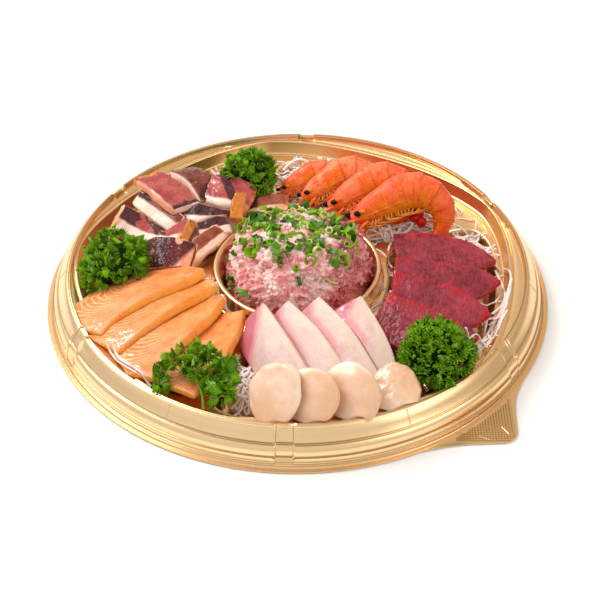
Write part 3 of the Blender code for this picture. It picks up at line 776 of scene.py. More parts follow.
def store_shade(mesh):
    """1 in the fine grooves and at the sides of the channels, where the sheet shades itself."""
    points = points_of(mesh) / MM
    turns, radius = np.arctan2(points[:, 1], points[:, 0]), np.hypot(*points[:, :2].T)
    height = points[:, 2]
    shade = np.zeros(len(points))
    for level in GROOVE_LEVELS:
        shade = np.maximum(shade, (np.abs(height - level) < 0.12) & (radius > SKIRT_STARTS))
    shade = np.maximum(shade, (np.abs(height - CREST_Z / MM + 0.35) < 0.1) & (radius > SLOPE_STARTS))
    beside = (turns - NOTCH_FIRST + pi / NOTCHES) % (tau / NOTCHES) - pi / NOTCHES
    from_side = np.abs(np.abs(beside) * CREST_R / MM - NOTCH_WIDTH / 2 / MM)
    shade = np.maximum(shade, 0.8 * (from_side < 0.2) * (radius > SLOPE_STARTS) * (height > 3.5))
    store(mesh, shade=shade)
    # The inner wall between the plate and the upper ledge is marked for a painted reflection: a warm tint
    # that stands in for the food and the far side of the tray that it mirrors.
    wall = (height > PLATE_Z / MM + 0.6) & (height < LEDGE_Z / MM - 0.4) & (radius > 80.0)
    wall &= radius < (CREST_R - CREST_WIDTH) / MM
    store(mesh, wall=wall * 1.0)
    print("wall points:", int(wall.sum()))


def add_gold(name, mesh, stands_for=()):
    store_turn(mesh)
    return add_piece(name, mesh, GOLD, stands_for)


store_shade(tray_mesh)
tray = add_gold("tray_shell", tray_mesh, ("tray",))

# %% [markdown]
# ## Pieces cut from the solids
# A slice of fish has a crisp cut edge and a soft, slightly uneven face. Its solid already has the
# right place and outline, but wide flat facets. So a copy is merged into one skin, its triangles
# are joined to quads and subdivided with the sharp edges creased, and a fine voxel remesh gives an
# even skin that small relief can be carved into. Each vertex also stores where it lies in the
# piece's own frame, so that the grain follows the piece whichever way it leans.

# %% From a solid to a smooth skin
def smooth_skin(node, voxel, rounds, crease=0.55):
    """A fine, even skin over a node's solid, with its sharp edges kept fairly crisp."""
    work = bmesh.new()
    work.from_mesh(NODES[node].data)
    bmesh.ops.remove_doubles(work, verts=work.verts, dist=0.01 * MM)
    bmesh.ops.join_triangles(work, faces=work.faces, angle_face_threshold=radians(25),
                             angle_shape_threshold=radians(60))
    keep = work.edges.layers.float.new("crease_edge")
    for edge in work.edges:
        if len(edge.link_faces) == 2 and edge.calc_face_angle(0) > radians(38):
            edge[keep] = crease
    mesh = bpy.data.meshes.new(node)
    work.to_mesh(mesh)
    work.free()
    thing = put_in(node + "_skin", mesh)
    rounding = thing.modifiers.new("rounding", "SUBSURF")
    rounding.levels = rounding.render_levels = 2
    even = thing.modifiers.new("even", "REMESH")
    even.mode = "VOXEL"
    even.voxel_size = voxel
    soften = thing.modifiers.new("soften", "SMOOTH")
    soften.factor = 0.5
    soften.iterations = rounds
    made = baked(thing)
    made.shade_smooth()
    return made


def turned_to(axis, way):
    return -axis if np.dot(axis, way) < 0 else axis


def own_frame(points, outward, towards):
    """Centre and axes of a piece: along it, across it and up through it. Along points outward
    from the tray's axis, and across points towards the given side."""
    centre = points.mean(axis=0)
    spread = np.cov((points - centre).T)
    axes = np.linalg.eigh(spread)[1].T[::-1]
    along, flat = turned_to(axes[0], outward), turned_to(axes[2], (0, 0, 1))
    return centre, np.array([along, turned_to(np.cross(flat, along), towards), flat])


def store_frame(mesh, node, towards):
    """Store grain in mm, place from -1 to 1, and the way each point faces."""
    points = points_of(mesh)
    centre, axes = own_frame(points, outward_of(node), towards)
    grain = (points - centre) @ axes.T
    low, high = grain.min(axis=0), grain.max(axis=0)
    place = 2 * (grain - low) / (high - low) - 1
    facing = normals_of(mesh) @ axes.T
    store(mesh, grain=grain / MM, place=place, facing=facing)
    return place, facing


def push_out(mesh, amount):
    """Move every vertex along its normal by its own amount."""
    set_points(mesh, points_of(mesh) + normals_of(mesh) * np.asarray(amount)[:, None])


def distances_to(node, points):
    """How far each point is from a node's solid."""
    solid = NODES[node].data
    tree = BVHTree.FromPolygons([v.co for v in solid.vertices], [p.vertices for p in solid.polygons])
    return np.array([tree.find_nearest(Vector(p))[3] for p in points])


def outward_of(node):
    """The way from the tray's axis to a node."""
    low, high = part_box(node)
    return np.array(low + high) * (1, 1, 0)

# %% [markdown]
# ### Salmon
# Thick slices, cut across the fillet. The top face shows the white fat lines between the flakes:
# near the outer end they curl round one point, and towards the inner end they stretch out along
# the slice and fade. The cut side below the raised edge is smoother and more yellow, and it is
# painted lighter too, standing in for the light it catches and lets through.

# %% Salmon finish
def salmon_finish():
    fish = Finish("salmon", 1.4, 0.3, coat=(0.2, 0.05), soft=(0.7, 0.004, (1.0, 0.35, 0.12)))
    grain_along, grain_across, _ = fish.axes("grain")
    across = grain_across + 4.0
    drift = noise_value(fish.place, 62.0) * 9.0
    flow = across.times_add(0.35, grain_along + across * across * 0.075 + drift)
    line = maths("SINE", flow * (tau / 3.6)).ranged(0.8, 0.98)
    patchy = fish.mottle(85.0)
    on_top = fish.axes("facing")[2].ranged(0.25, 0.75)
    shown = line * fish.axes("place")[0].ranged(-0.45, 0.4, 0.15, 1.0)
    shown = shown * patchy.ranged(0.0, 0.6, 0.65, 1.0) * on_top.ranged(0.0, 1.0, 0.35, 1.0)
    flesh = mixed(patchy, (1.0, 0.2, 0.026), (1.0, 0.33, 0.08))
    # The cut side is more yellow than the top and is also painted lighter: painted light for what the side
    # catches and lets through.
    side = mixed(patchy, (1.0, 0.36, 0.03), (1.0, 0.5, 0.08))
    fibre = fish.fibres(0.9, 9.0)
    # painted sheen: pale patches on the top stand in for the highlights of its wet film
    painted_wet_sheen = fish.mottle(45.0).ranged(0.55, 0.95) * on_top
    body = layered(mixed(on_top, side, flesh), (fibre * 0.16, (1.0, 0.6, 0.34)),
                   (shown * 0.95, (1.0, 0.82, 0.62)), (painted_wet_sheen * 0.22, (1.0, 0.58, 0.34)))
    height = noise_value(fish.place, 900.0).times_add(0.7, shown.times_add(0.5, fibre * 0.4))
    return fish.done(body, fish.wetness(160.0, 0.12, 0.42), height, 0.35, 0.7)


SALMON = salmon_finish()
print("salmon finish:", len(SALMON.node_tree.nodes), "nodes")

# %% Salmon slices
def dressed_slice(node, finish, towards, relief, seed, crease=0.8, grain_relief=0.0):
    """A slice from its solid, gently uneven, with its own frame stored."""
    mesh = smooth_skin(node, 0.6 * MM, 2, crease=crease)
    store_frame(mesh, node, towards)
    points = points_of(mesh)
    waves = bumps(points, 9, seed) * 0.35 + bumps(points, 3, seed) * 0.12
    waves = (waves - 0.25) * relief
    if grain_relief:
        waves -= np.abs(bumps(points, 2.2, seed + 50)) * grain_relief
    push_out(mesh, waves)
    return add_piece(node + "_slice", mesh, finish, (node,))


for i in range(4):
    dressed_slice(f"salmon_{i + 1}", SALMON, (0.6, -0.8, 0.0), 0.7 * MM, i)
print("salmon slices:", 4)

# %% [markdown]
# ### Yellowtail
# Pale slices with a pink bloodline along the left edge that deepens at the inner end, the same
# pink painted as shade where a slice lies beside the one before, a creamy band along the raised
# right edge, and very fine fibres between them.

# %% Yellowtail finish and slices
def yellowtail_finish():
    fish = Finish("yellowtail", 1.4, 0.35, coat=(0.3, 0.08), soft=(0.15, 0.002, (1.0, 0.55, 0.4)))
    blush = fish.stored("blush")
    patchy = fish.mottle(60.0)
    wobble = (patchy - 0.5) * 0.5
    cream = (fish.axes("place")[1] + wobble).ranged(0.35, 0.75)
    # pink of the bloodline, and painted shade beside the slice before
    pink = (blush + wobble * 0.3).ranged(0.0, 0.8)
    fibre = fish.fibres(0.9, 12.0)
    body = layered(
        mixed(patchy, (0.66, 0.43, 0.385), (0.73, 0.53, 0.475)), (cream, (0.74, 0.54, 0.42)),
        (fibre * 0.3, (0.82, 0.64, 0.58)), (pink, (0.72, 0.265, 0.285)),
        (blush.ranged(0.75, 1.0) * 0.85, (0.58, 0.135, 0.185)))
    return fish.done(body, fish.wetness(180.0, 0.2, 0.45), fibre, 0.2, 0.45)


def store_bloodline_and_shade(mesh, before, ends):
    """The bloodline, pink over the slanting inner end, and pink painted shade beside the slice before this
    one, where this slice tucks behind it.
    """
    points = points_of(mesh)
    along, across = stored_vectors(mesh, "place").T[:2]
    uneven = bumps(points, 9, 90) * 0.12
    blush = 1 - smoothstep(ends - 0.3, ends + 0.22, 1.2 * along + 0.8 * across + uneven)
    if before in NODES:
        # painted shade: pink near the slice before, where this one tucks behind it
        beside = 1 - smoothstep(1.5 * MM, 8.0 * MM, distances_to(before, points))
        inward = 1 - smoothstep(-0.5, 0.85, along + uneven)
        blush = np.maximum(blush, beside * inward * 0.9)
    store(mesh, blush=blush)


YELLOWTAIL = yellowtail_finish()
for i, ends in enumerate((-0.62, -0.8, -0.8, -0.7)):
    piece = dressed_slice(f"yellowtail_{i + 1}", YELLOWTAIL, (0.9, 0.4, 0.0),
                          0.6 * MM, 5 + i, crease=1.0)
    store_bloodline_and_shade(piece.data, f"yellowtail_{i}", ends)
print("yellowtail slices:", 4)

# %% [markdown]
# ### Tuna
# Lean red slices. The face is dark with a fine open grain that runs across the slice and a paler
# violet bloom, and the freshly cut edges are a brighter, clearer red.

# %% Tuna finish and slices
def tuna_finish():
    fish = Finish("tuna", 1.38, 0.14, coat=(0.35, 0.07), soft=(0.08, 0.002, (1.0, 0.15, 0.12)))
    turned = value_of(fish.tree, "ShaderNodeMapping",
                      {"Vector": fish.stored("grain", "Vector"), "Rotation": (0, 0, radians(70))})
    fibre = fish.fibres(0.95, 5.0, turned)
    along, across, _ = fish.axes("place")
    bloom, speck = fish.mottle(70.0), fish.mottle(300.0)
    wobble = (bloom - 0.5) * 0.35
    edge_side = (across + wobble).ranged(0.66, 0.94)
    ends = (maths("ABSOLUTE", along) + wobble).ranged(0.84, 1.0)
    turned_away = fish.axes("facing")[2].ranged(0.55, 0.9, 1.0, 0.0)
    edge = maths("MAXIMUM", maths("MAXIMUM", edge_side, ends), turned_away)
    body = layered(
        mixed(bloom, (0.105, 0.002, 0.007), (0.37, 0.027, 0.052)),
        (speck * 0.38, (0.42, 0.066, 0.088)), (edge, (0.46, 0.008, 0.016)),
        (fibre * 0.2, (0.56, 0.105, 0.125)))
    return fish.done(body, fish.wetness(220.0, 0.12, 0.45), fibre.times_add(0.6, speck * 0.4), 0.45, 0.8)


TUNA = tuna_finish()
for i in range(4):
    dressed_slice(f"tuna_{i + 1}", TUNA, (0.3, 1.0, 0.0), 1.7 * MM, 10 + i, crease=0.9,
                  grain_relief=0.45 * MM)
print("tuna slices:", 4)

# %% [markdown]
# ### Scallops
# Cream discs with a soft translucent rim and the faint lines of the muscle. The rim is painted
# lighter along the right side as the light through its thin edge, and each disc is painted deeper
# orange as shade towards its outer end by the wall and where it touches its neighbours. The last
# one is wrinkled where it was folded over.

# %% Scallops
def scallop_finish():
    disc = Finish("scallop", 1.4, 0.4, coat=(0.6, 0.09), soft=(0.55, 0.004, (1.0, 0.6, 0.35)))
    along, across, _ = disc.axes("place")
    fibre = disc.fibres(0.7, 6.0)
    # painted highlight: the thin rim is lighter on the right side, standing in for light through its edge
    rim = disc.stored("rim").ranged(0.8, 0.99) * across.ranged(-0.2, 0.6) * along.ranged(0.1, 0.6, 1.0, 0.15)
    body = layered(
        mixed(disc.mottle(55.0), (0.78, 0.49, 0.31), (0.9, 0.66, 0.5)),
        # painted shade: deeper orange towards the outer end by the tray's wall
        (along.ranged(-0.1, 1.0) * 0.6, (0.76, 0.41, 0.2)),
        # painted shade: deeper orange where the disc touches its neighbours
        (disc.stored("touching") * 0.6, (0.66, 0.33, 0.14)), (rim * 0.6, (1.0, 0.84, 0.66)),
        (fibre * 0.1, (0.88, 0.66, 0.5)))
    return disc.done(body, disc.wetness(120.0, 0.1, 0.28), fibre, 0.12, 0.3)


SCALLOP = scallop_finish()


def make_scallop(i):
    node = f"scallop_{i + 1}"
    mesh = smooth_skin(node, 0.6 * MM, 3, crease=0.6)
    place, facing = store_frame(mesh, node, (1.0, 0.0, 0.0))
    from_middle = np.hypot(place[:, 0], place[:, 1])
    store(mesh, rim=from_middle)
    points = points_of(mesh)
    # how near each point is to the discs beside it, for the painted shade where they overlap
    near = np.zeros(len(points))
    for other in (f"scallop_{i}", f"scallop_{i + 2}"):
        if other in NODES:
            away = distances_to(other, points)
            near = np.maximum(near, 1 - smoothstep(0.5 * MM, 6.0 * MM, away))
    store(mesh, touching=near)
    middle = np.clip(1 - from_middle ** 2, 0, 1)
    relief = (bumps(points, 9, 20 + i) * 0.9 - 0.15) * 0.9 * MM
    relief += 0.5 * MM * middle * smoothstep(0.2, 0.8, facing[:, 2])
    if i == 3:
        relief += (np.abs(bumps(points, 7, 31)) * -1.1 + 0.2) * MM
        relief += np.minimum(0, bumps(points, 3, 33)) * 0.4 * MM
    push_out(mesh, relief)
    add_piece(node + "_disc", mesh, SCALLOP, (node,))


for i in range(4):
    make_scallop(i)
print("scallops:", 4)

# %% [markdown]
# ### Grilled squid
# Thick pieces cut from the tube of a grilled squid. The skin side is glossy and runs from pink to
# almost black where the grill marked it, the cut sides are white and firm, and some edges are
# toasted gold with black specks. Skin, char and toast are worked out for each vertex, because
# they follow how the piece was cut and not the noise in a texture.

# %% Squid finish
def squid_finish():
    squid = Finish("squid", 1.38, 0.16, coat=(0.4, 0.06), soft=(0.12, 0.002, (1.0, 0.5, 0.35)))
    patchy, fine = squid.mottle(90.0), squid.mottle(620.0)
    skin, hue = squid.stored("skin"), squid.stored("hue")
    rosy = mixed(patchy, (0.34, 0.034, 0.05), (0.54, 0.115, 0.09))
    brown = mixed(patchy, (0.2, 0.028, 0.018), (0.4, 0.11, 0.055))
    wine = mixed(patchy, (0.028, 0.002, 0.003), (0.13, 0.008, 0.009))
    soot = mixed(patchy, (0.006, 0.002, 0.004), (0.045, 0.011, 0.022))
    golden = mixed(patchy, (0.4, 0.1, 0.012), (0.74, 0.27, 0.04))
    wobble = (patchy - 0.5) * 0.3
    torn = (squid.fibres(5.0, 0.7) - 0.5) * 0.45
    black = (squid.stored("char") + wobble + torn).ranged(0.3, 0.7)
    tint = layered(rosy, (hue.ranged(0.0, 0.5), brown), (hue.ranged(0.5, 1.0), wine), (black * 0.94, soot),
                   (fine * 0.14, (0.6, 0.2, 0.16)))
    warm = squid.stored("toast") + wobble
    flesh = layered(
        mixed(patchy, (0.93, 0.68, 0.56), (1.0, 0.85, 0.76)),
        (warm.ranged(0.05, 0.5), (0.86, 0.36, 0.19)),
        (warm.ranged(0.5, 1.0), (0.62, 0.2, 0.03)))
    seam = skin * 4.0 * maths("SUBTRACT", 1.0, skin)
    seeds = value_of(squid.tree, "ShaderNodeTexVoronoi", {"Vector": squid.place, "Scale": 230.0}, "Distance")
    speck = seeds.ranged(0.1, 0.16, 1.0, 0.0) * warm.ranged(0.4, 0.7)
    body = layered(mixed(skin, flesh, tint), (seam * 0.6, (0.5, 0.14, 0.07)),
                   ((warm - 0.1).ranged(0.45, 0.8), golden), (speck, (0.02, 0.012, 0.008)))
    height = fine.times_add(0.6, patchy * 0.6) * skin.times_add(0.9, 0.1)
    return squid.done(body, squid.wetness(260.0, 0.07, 0.4), height, 0.45, 0.8)


SQUID = squid_finish()
print("squid finish:", len(SQUID.node_tree.nodes), "nodes")

# %% Squid pieces
def stripe(where, centre, half):
    """1 inside a band of the given half width, fading over a soft edge."""
    return 1 - smoothstep(half * 0.75, half * 1.25, np.abs(where - centre))


def make_squid(index, bend, hue, bare, marks, inner_toast, outer_toast, side_toast, all_toast=0.0,
               cut=-2.0):
    """One piece. bend is how far it curls in degrees, and bare the share of its face that shows
    white flesh along the front edge. marks are the dark bands, each with its centre, half width
    and slant along the piece. The toasts say how far the ends, the sides and the whole piece are
    browned. Beyond cut, the inner end shows a slanting face of flesh."""
    node = f"squid_{index}"
    mesh = smooth_skin(node, 0.7 * MM, 3, crease=0.7)
    place, facing = store_frame(mesh, node, (0.0, -1.0, 0.0))
    along, across, up = place.T
    turn = along * radians(bend) / 2
    upward = facing[:, 0] * np.sin(turn) + facing[:, 2] * np.cos(turn)
    points = points_of(mesh)
    uneven = bumps(points, 4, index)
    skin = smoothstep(0.54, 0.68, upward + 0.04 * uneven)
    limit = 1 - 2 * bare
    skin = skin * (1 - smoothstep(limit - 0.06, limit + 0.06, across + 0.06 * uneven))
    skin = skin * smoothstep(cut - 0.08, cut + 0.08, along - 0.45 * across)
    dark = np.zeros(len(points))
    for where, half, slant in marks:
        dark = np.maximum(dark, stripe(along + slant * across + 0.08 * uneven, where, half))
    toast = inner_toast * (1 - smoothstep(-0.95, -0.6, along))
    toast = np.maximum(toast, all_toast)
    toast = np.maximum(toast, outer_toast * smoothstep(0.6, 0.92, along))
    toast = np.maximum(toast, side_toast * smoothstep(0.72, 0.95, np.abs(across)) * (1 - skin))
    toast = np.maximum(toast, 0.42 * (1 - smoothstep(-0.85, -0.35, up)) * (1 - skin))
    store(mesh, skin=skin, char=dark, toast=toast, hue=hue)
    swell = bumps(points, 9, 40 + index) * 0.7 + uneven * 0.25 - 0.35
    wrinkle = np.abs(bumps(points, 2.4, 60 + index)) * 0.4 * skin
    push_out(mesh, (swell - wrinkle) * 1.2 * MM)
    add_piece(node + "_piece", mesh, SQUID, (node,))


SQUID_PIECES = (
    (14, 0.1, 0.05, ((-0.95, 0.12, 0.0),), 0.0, 0.95, 0.45),
    (24, 0.5, 0.5, ((0.65, 0.4, 0.0),), 0.25, 0.0, 0.2),
    (-98, 0.05, 0.42, ((0.66, 0.24, 0.0), (-0.16, 0.15, 0.5)), 1.0, 0.45, 0.4),
    (62, 0.8, 0.02, ((0.98, 0.1, 0.0), (-0.55, 0.14, 0.4)), 0.0, 0.0, 0.1),
    (30, 0.0, 0.22, ((0.05, 0.22, 0.55),), 0.9, 0.0, 0.1),
    (26, 0.8, 0.48, ((0.0, 1.05, 0.0),), 0.2, 0.0, 0.05),
    (10, 0.5, 1.0, (), 1.0, 1.0, 1.0, 0.85),
    (60, 1.0, 0.0, ((0.1, 0.18, 0.0), (0.85, 0.12, 0.0)), 0.45, 0.0, 0.5, 0.35, -0.78),
    (50, 0.45, 0.45, (), 0.95, 0.25, 0.35, 0.28),
    (20, 0.3, 0.48, ((0.0, 0.9, 0.2),), 0.1, 0.1, 0.1),
    (40, 0.45, 0.4, ((0.85, 0.35, 0.0),), 0.8, 0.1, 0.85, 0.3))
for index, row in enumerate(SQUID_PIECES, 1):
    make_squid(index, *row)
print("squid pieces:", len(SQUID_PIECES))

# %% [markdown]
# ### Boiled prawns
# Whole prawns, curled on their sides. A smooth head shell runs to a toothed spike above black
# eyes, then come six overlapping plates, each a little wider at its rear edge than the next. The
# legs and feelers are thin and folded back under the belly. One row of sizes along the animal
# gives the body, and the thin parts are tubes drawn along short paths.

# %% The body's row of sizes
ARCH = np.array((           # along, up, half depth, half width, from the mouth to the tail fan
    (-2.5, -2.6, 3.0, 2.4), (0.4, -1.4, 5.0, 3.5), (5.0, 0.9, 7.0, 4.8), (10.5, 3.8, 8.8, 5.8),
    (17.0, 6.6, 10.2, 6.5),
    (27.0, 10.5, 11.2, 6.9), (36.0, 12.0, 11.2, 6.9), (44.0, 9.8, 10.0, 6.6), (50.0, 5.0, 8.6, 6.1),
    (52.5, -1.5, 7.0, 5.5), (51.8, -8.0, 5.6, 4.9), (49.0, -13.5, 4.0, 4.5), (44.0, -16.5, 2.0, 5.8),
    (38.5, -17.5, 1.2, 7.0)))   # mm
BODY_STATIONS = 96
BODY_SIDES = 22
SHELL_ENDS = (0.4, 0.5, 0.6, 0.69, 0.77, 0.85)


def along_curve(rows, count):
    """Evenly spaced rows on a smooth curve through the given rows."""
    rows = np.asarray(rows, dtype=float)
    ends = np.vstack((2 * rows[0] - rows[1], rows, 2 * rows[-1] - rows[-2]))
    fine = []
    for a, b, c, d in zip(ends, ends[1:], ends[2:], ends[3:]):
        for t in np.linspace(0, 1, 24, endpoint=False):
            fine.append(0.5 * (2 * b + (c - a) * t + (2 * a - 5 * b + 4 * c - d) * t ** 2
                               + (3 * b - a - 3 * c + d) * t ** 3))
    fine = np.array(fine + [rows[-1]])
    steps = np.linalg.norm(np.diff(fine[:, :3], axis=0), axis=1)
    reach = np.concatenate(((0.0,), np.cumsum(steps)))
    goals = np.linspace(0, reach[-1], count)
    return np.column_stack([np.interp(goals, reach, fine[:, k]) for k in range(fine.shape[1])])

# %% Parts that are added up to one mesh
class Parts:
    """Collects vertices and faces, with a few numbers stored for each vertex."""

    def __init__(self, *names):
        self.points, self.faces = [], []
        self.values = {name: [] for name in names}

    def add(self, shape, **values):
        points, faces = shape
        first = len(self.points)
        self.points.extend(points)
        self.faces.extend(tuple(first + k for k in face) for face in faces)
        for name, row in self.values.items():
            row.extend(np.broadcast_to(values.get(name, 0.0), len(points)))

    def mesh(self, name):
        made = plain_mesh(name, self.points, self.faces)
        store(made, **self.values)
        made.shade_smooth()
        return made


def ring_faces(rings, sides):
    """Faces of a skin over a row of rings, with both ends closed by a fan's n-gon."""
    faces = []
    for r in range(rings - 1):
        for s in range(sides):
            t = (s + 1) % sides
            faces.append((r * sides + s, r * sides + t, (r + 1) * sides + t, (r + 1) * sides + s))
    faces.append(tuple(range(sides))[::-1])
    faces.append(tuple((rings - 1) * sides + s for s in range(sides)))
    return faces


def tube(path, radii, sides=6, squash=1.0):
    """Points and faces of a tube along a path, flattened by squash."""
    path = np.asarray(path, dtype=float)
    radii = np.broadcast_to(radii, len(path))
    points = []
    side = np.array((0.31, 0.2, 0.93))
    for i, spot in enumerate(path):
        ahead = path[min(i + 1, len(path) - 1)] - path[max(i - 1, 0)]
        ahead /= np.linalg.norm(ahead) + 1e-12
        side = side - ahead * np.dot(side, ahead)
        side /= np.linalg.norm(side) + 1e-12
        other = np.cross(ahead, side)
        for k in range(sides):
            a = tau * k / sides
            points.append(spot + radii[i] * (cos(a) * side + sin(a) * squash * other))
    return points, ring_faces(len(path), sides)


def ball(centre, radii, sides=12, rings=7):
    """Points and faces of a rounded bead."""
    points = []
    for r in range(rings):
        polar = pi * (r + 0.5) / rings
        for s in range(sides):
            a = tau * s / sides
            ray = np.array((sin(polar) * cos(a), sin(polar) * sin(a), -cos(polar)))
            points.append(np.asarray(centre) + ray * radii)
    return points, ring_faces(rings, sides)

# %% One prawn
def shell_swell(t):
    """How far the plates stand out at t along the body: each grows towards its rear edge."""
    swell = 0.0
    start = 0.12
    for end in SHELL_ENDS:
        if start <= t < end:
            share = (t - start) / (end - start)
            swell = 0.55 * share ** 3
        start = end
    return swell


def body_spot(rows, i, a):
    """The point of the body at station i, turned by a from the middle of the back."""
    t = i / (BODY_STATIONS - 1)
    centre = np.array((*rows[i, :2], 0.0))
    ahead = rows[min(i + 1, len(rows) - 1), :2] - rows[max(i - 1, 0), :2]
    ahead /= np.linalg.norm(ahead)
    grown = 1 + shell_swell(t) * 0.16
    lift = cos(a) * (1 + 0.1 * smoothstep(0.25, 0.45, t) * max(0.0, cos(a)) ** 4)
    if cos(a) < -0.5:
        lift = -0.5 + (cos(a) + 0.5) * 0.75
    back = np.array((-ahead[1], ahead[0], 0.0))
    return centre + (back * lift * rows[i, 2] + np.array((0, 0, 1.0)) * sin(a) * rows[i, 3]) * grown


def body_rings(unit):
    rows = along_curve(ARCH, BODY_STATIONS) * unit
    spots = [(i, tau * s / BODY_SIDES) for i in range(BODY_STATIONS) for s in range(BODY_SIDES)]
    lengths = [i / (BODY_STATIONS - 1) for i, _ in spots]
    points = [body_spot(rows, i, a) for i, a in spots]
    return points, ring_faces(BODY_STATIONS, BODY_SIDES), lengths, [cos(a) for _, a in spots]


def add_shell_edges(parts, unit):
    """Thin rims: under and behind the head shell, and at the rear of every plate."""
    rows = along_curve(ARCH, BODY_STATIONS) * unit
    last = int(SHELL_ENDS[0] * (BODY_STATIONS - 1))
    for side in (-1, 1):
        under = [body_spot(rows, i, side * 1.85) for i in range(5, last + 1, 3)]
        parts.add(tube(along_curve(np.array(under), 30), 0.34 * unit, 6), along=0.2, back=0.1, leg=0.8)
    for end in SHELL_ENDS:
        hoop = [body_spot(rows, int(end * (BODY_STATIONS - 1)), a) for a in np.linspace(-1.95, 1.95, 30)]
        parts.add(tube(hoop, 0.22 * unit, 5), along=end, back=0.3, leg=0.55)


def limb(path, widths, unit, sides, squash=1.0, count=0):
    """A tube through a few points. Two widths are those of its ends, more are those all along."""
    count = count or len(widths)
    widths = np.linspace(*widths, count) if len(widths) == 2 else np.array(widths)
    return tube(along_curve(np.array(path) * unit, count), widths * unit, sides, squash)


SCALE_WIDTHS = (2.4, 2.8, 3.0, 3.0, 2.8, 2.5, 2.1, 1.6, 1.0, 0.3)
PADDLE_WIDTHS = (0.8, 1.3, 1.6, 1.7, 1.5, 1.2, 0.8, 0.3)
BLADE_WIDTHS = (1.0, 1.7, 2.3, 2.8, 3.1, 3.1, 2.8, 2.0, 0.6)
ROE = (((35.5, -3.0, 0.5), (3.6, 3.0, 3.6)), ((39.5, -5.5, 1.5), (3.2, 3.4, 3.0)),
       ((37.5, -1.0, -1.0), (4.2, 3.0, 3.6)))


def add_head_parts(parts, unit):
    """Spike, eyes on stalks, the two long scales under them, jaws and small feelers."""
    for side, ahead in ((1, 0.0), (-1, -4.6)):
        eye = np.array((ahead + 0.6, 1.0 + ahead * 0.25, side * 4.5)) * unit
        parts.add(ball(eye, np.array((2.35, 1.75, 1.75)) * unit), eye=1.0, along=0.05, back=0.5)
        stalk = [np.array((4.5, 1.6, side * 2.6)) * unit, eye]
        parts.add(tube(stalk, 1.3 * unit, 8), along=0.06, back=0.3)
        socket = eye + np.array((3.0, 1.1, 0.0)) * unit
        parts.add(ball(socket, np.array((2.4, 1.5, 1.9)) * unit), along=0.03, back=-0.7, leg=0.5)
    for side in (-1, 1):
        scale = ((7.0, -3.5, side * 3.4), (2.5, -8.0, side * 4.0), (0.8, -13.6, side * 2.4))
        parts.add(limb(scale, SCALE_WIDTHS, unit, 9, 0.4), along=0.02, back=0.35)
        lip = ((5.0, -1.5, side * 3.0), (-2.5, -3.4, side * 3.6), (-7.2, -5.6, side * 2.2))
        parts.add(limb(lip, (1.9, 0.35), unit, 8, 0.5, 9), along=0.02, back=0.5)
        jaw = ((9.0, -6.0, side * 3.2), (5.5, -10.0, side * 3.0), (3.6, -14.5, side * 1.8))
        parts.add(limb(jaw, (1.4, 0.35), unit, 7, 0.7, 9), along=0.03, back=-0.2)
        for k in range(2):
            feeler = ((1.0, -2.0, side * 1.6), (-4.5, -4.6 - k, side * 2.0),
                      (-5.0 + 2 * k, -10.0 - k, side * 2.6))
            parts.add(limb(feeler, (0.75, 0.2), unit, 6, count=10), along=0.02, back=0.6)
    spike = along_curve(np.array(((14.0, 11.0, 0), (6.0, 8.4, 0), (0.0, 5.4, 0), (-7.0, 1.8, 0))) * unit, 16)
    parts.add(tube(spike, np.linspace(2.4, 0.25, 16) * unit, 8, 0.5), along=0.1, back=1.0)
    for foot in spike[4:15:2]:
        tooth = [foot + np.array((0.4, 0.9, 0)) * unit, foot + np.array((-1.5, 2.3, 0)) * unit]
        parts.add(tube(tooth, [0.55 * unit, 0.12 * unit], 5), along=0.1, back=1.0)


def add_legs(parts, unit, seed):
    """Folded walking legs, small paddles under the tail, the roe and two long feelers."""
    rng = np.random.default_rng(seed)
    body = along_curve(ARCH, 100)
    for side in (-1, 1):
        for k in np.linspace(0, 7.5, 13):
            hip = np.array((8.0 + 2.9 * k, -4.0 + 1.2 * k, side * 3.8))
            knee = hip + np.array((-1.8 + 0.6 * k, -3.6, side * 1.2)) + rng.normal(0, 0.5, 3)
            foot = knee + np.array((9.5 + 0.8 * k, 0.2 + 0.5 * k, -side * 1.0)) + rng.normal(0, 0.7, 3)
            leg = (hip, (hip + knee) / 2 + (0.5, 0, 0), knee, (knee + foot) / 2 + (0, -0.8, 0), foot)
            parts.add(limb(leg, (0.72, 0.2), unit, 5, count=14), along=0.25, back=-0.75, leg=1.0)
        for k in range(5):
            station = int((0.46 + 0.085 * k) * 99)
            row, near = body[station], body[min(station + 2, 99)]
            ahead = (near[:2] - row[:2]) / np.linalg.norm(near[:2] - row[:2])
            down = np.array((ahead[1], -ahead[0]))
            hip = np.array((*(row[:2] + down * row[2] * 0.75), side * row[3] * 0.45))
            tip = hip + np.array((*(down * (6.0 - 0.5 * k) - ahead * 2.5), side * 0.8))
            tip += rng.normal(0, 0.4, 3)
            paddle = (hip, (hip + tip) / 2 + (0.3, 0.3, 0), tip)
            parts.add(limb(paddle, PADDLE_WIDTHS, unit, 8, 0.35), along=0.6, back=-0.9, leg=0.6)
    for spot, radii in ROE:
        parts.add(ball(np.array(spot) * unit, np.array(radii) * unit), along=0.9, back=0.4, roe=1.0)
    for side, sweep in ((1, 1.0), (-1, 0.75)):
        feeler = ((-6.0, -7.5, side * 2.0), (-9.0, -12.0, side * 3.5), (0.0, -14.5, side * 4.5),
                  (14.0 * sweep, -11.0, side * 6.5), (28.0 * sweep, -5.0, side * 7.6))
        parts.add(limb(feeler, (0.5, 0.16), unit, 5, count=26), along=0.05, back=0.0, leg=1.0)


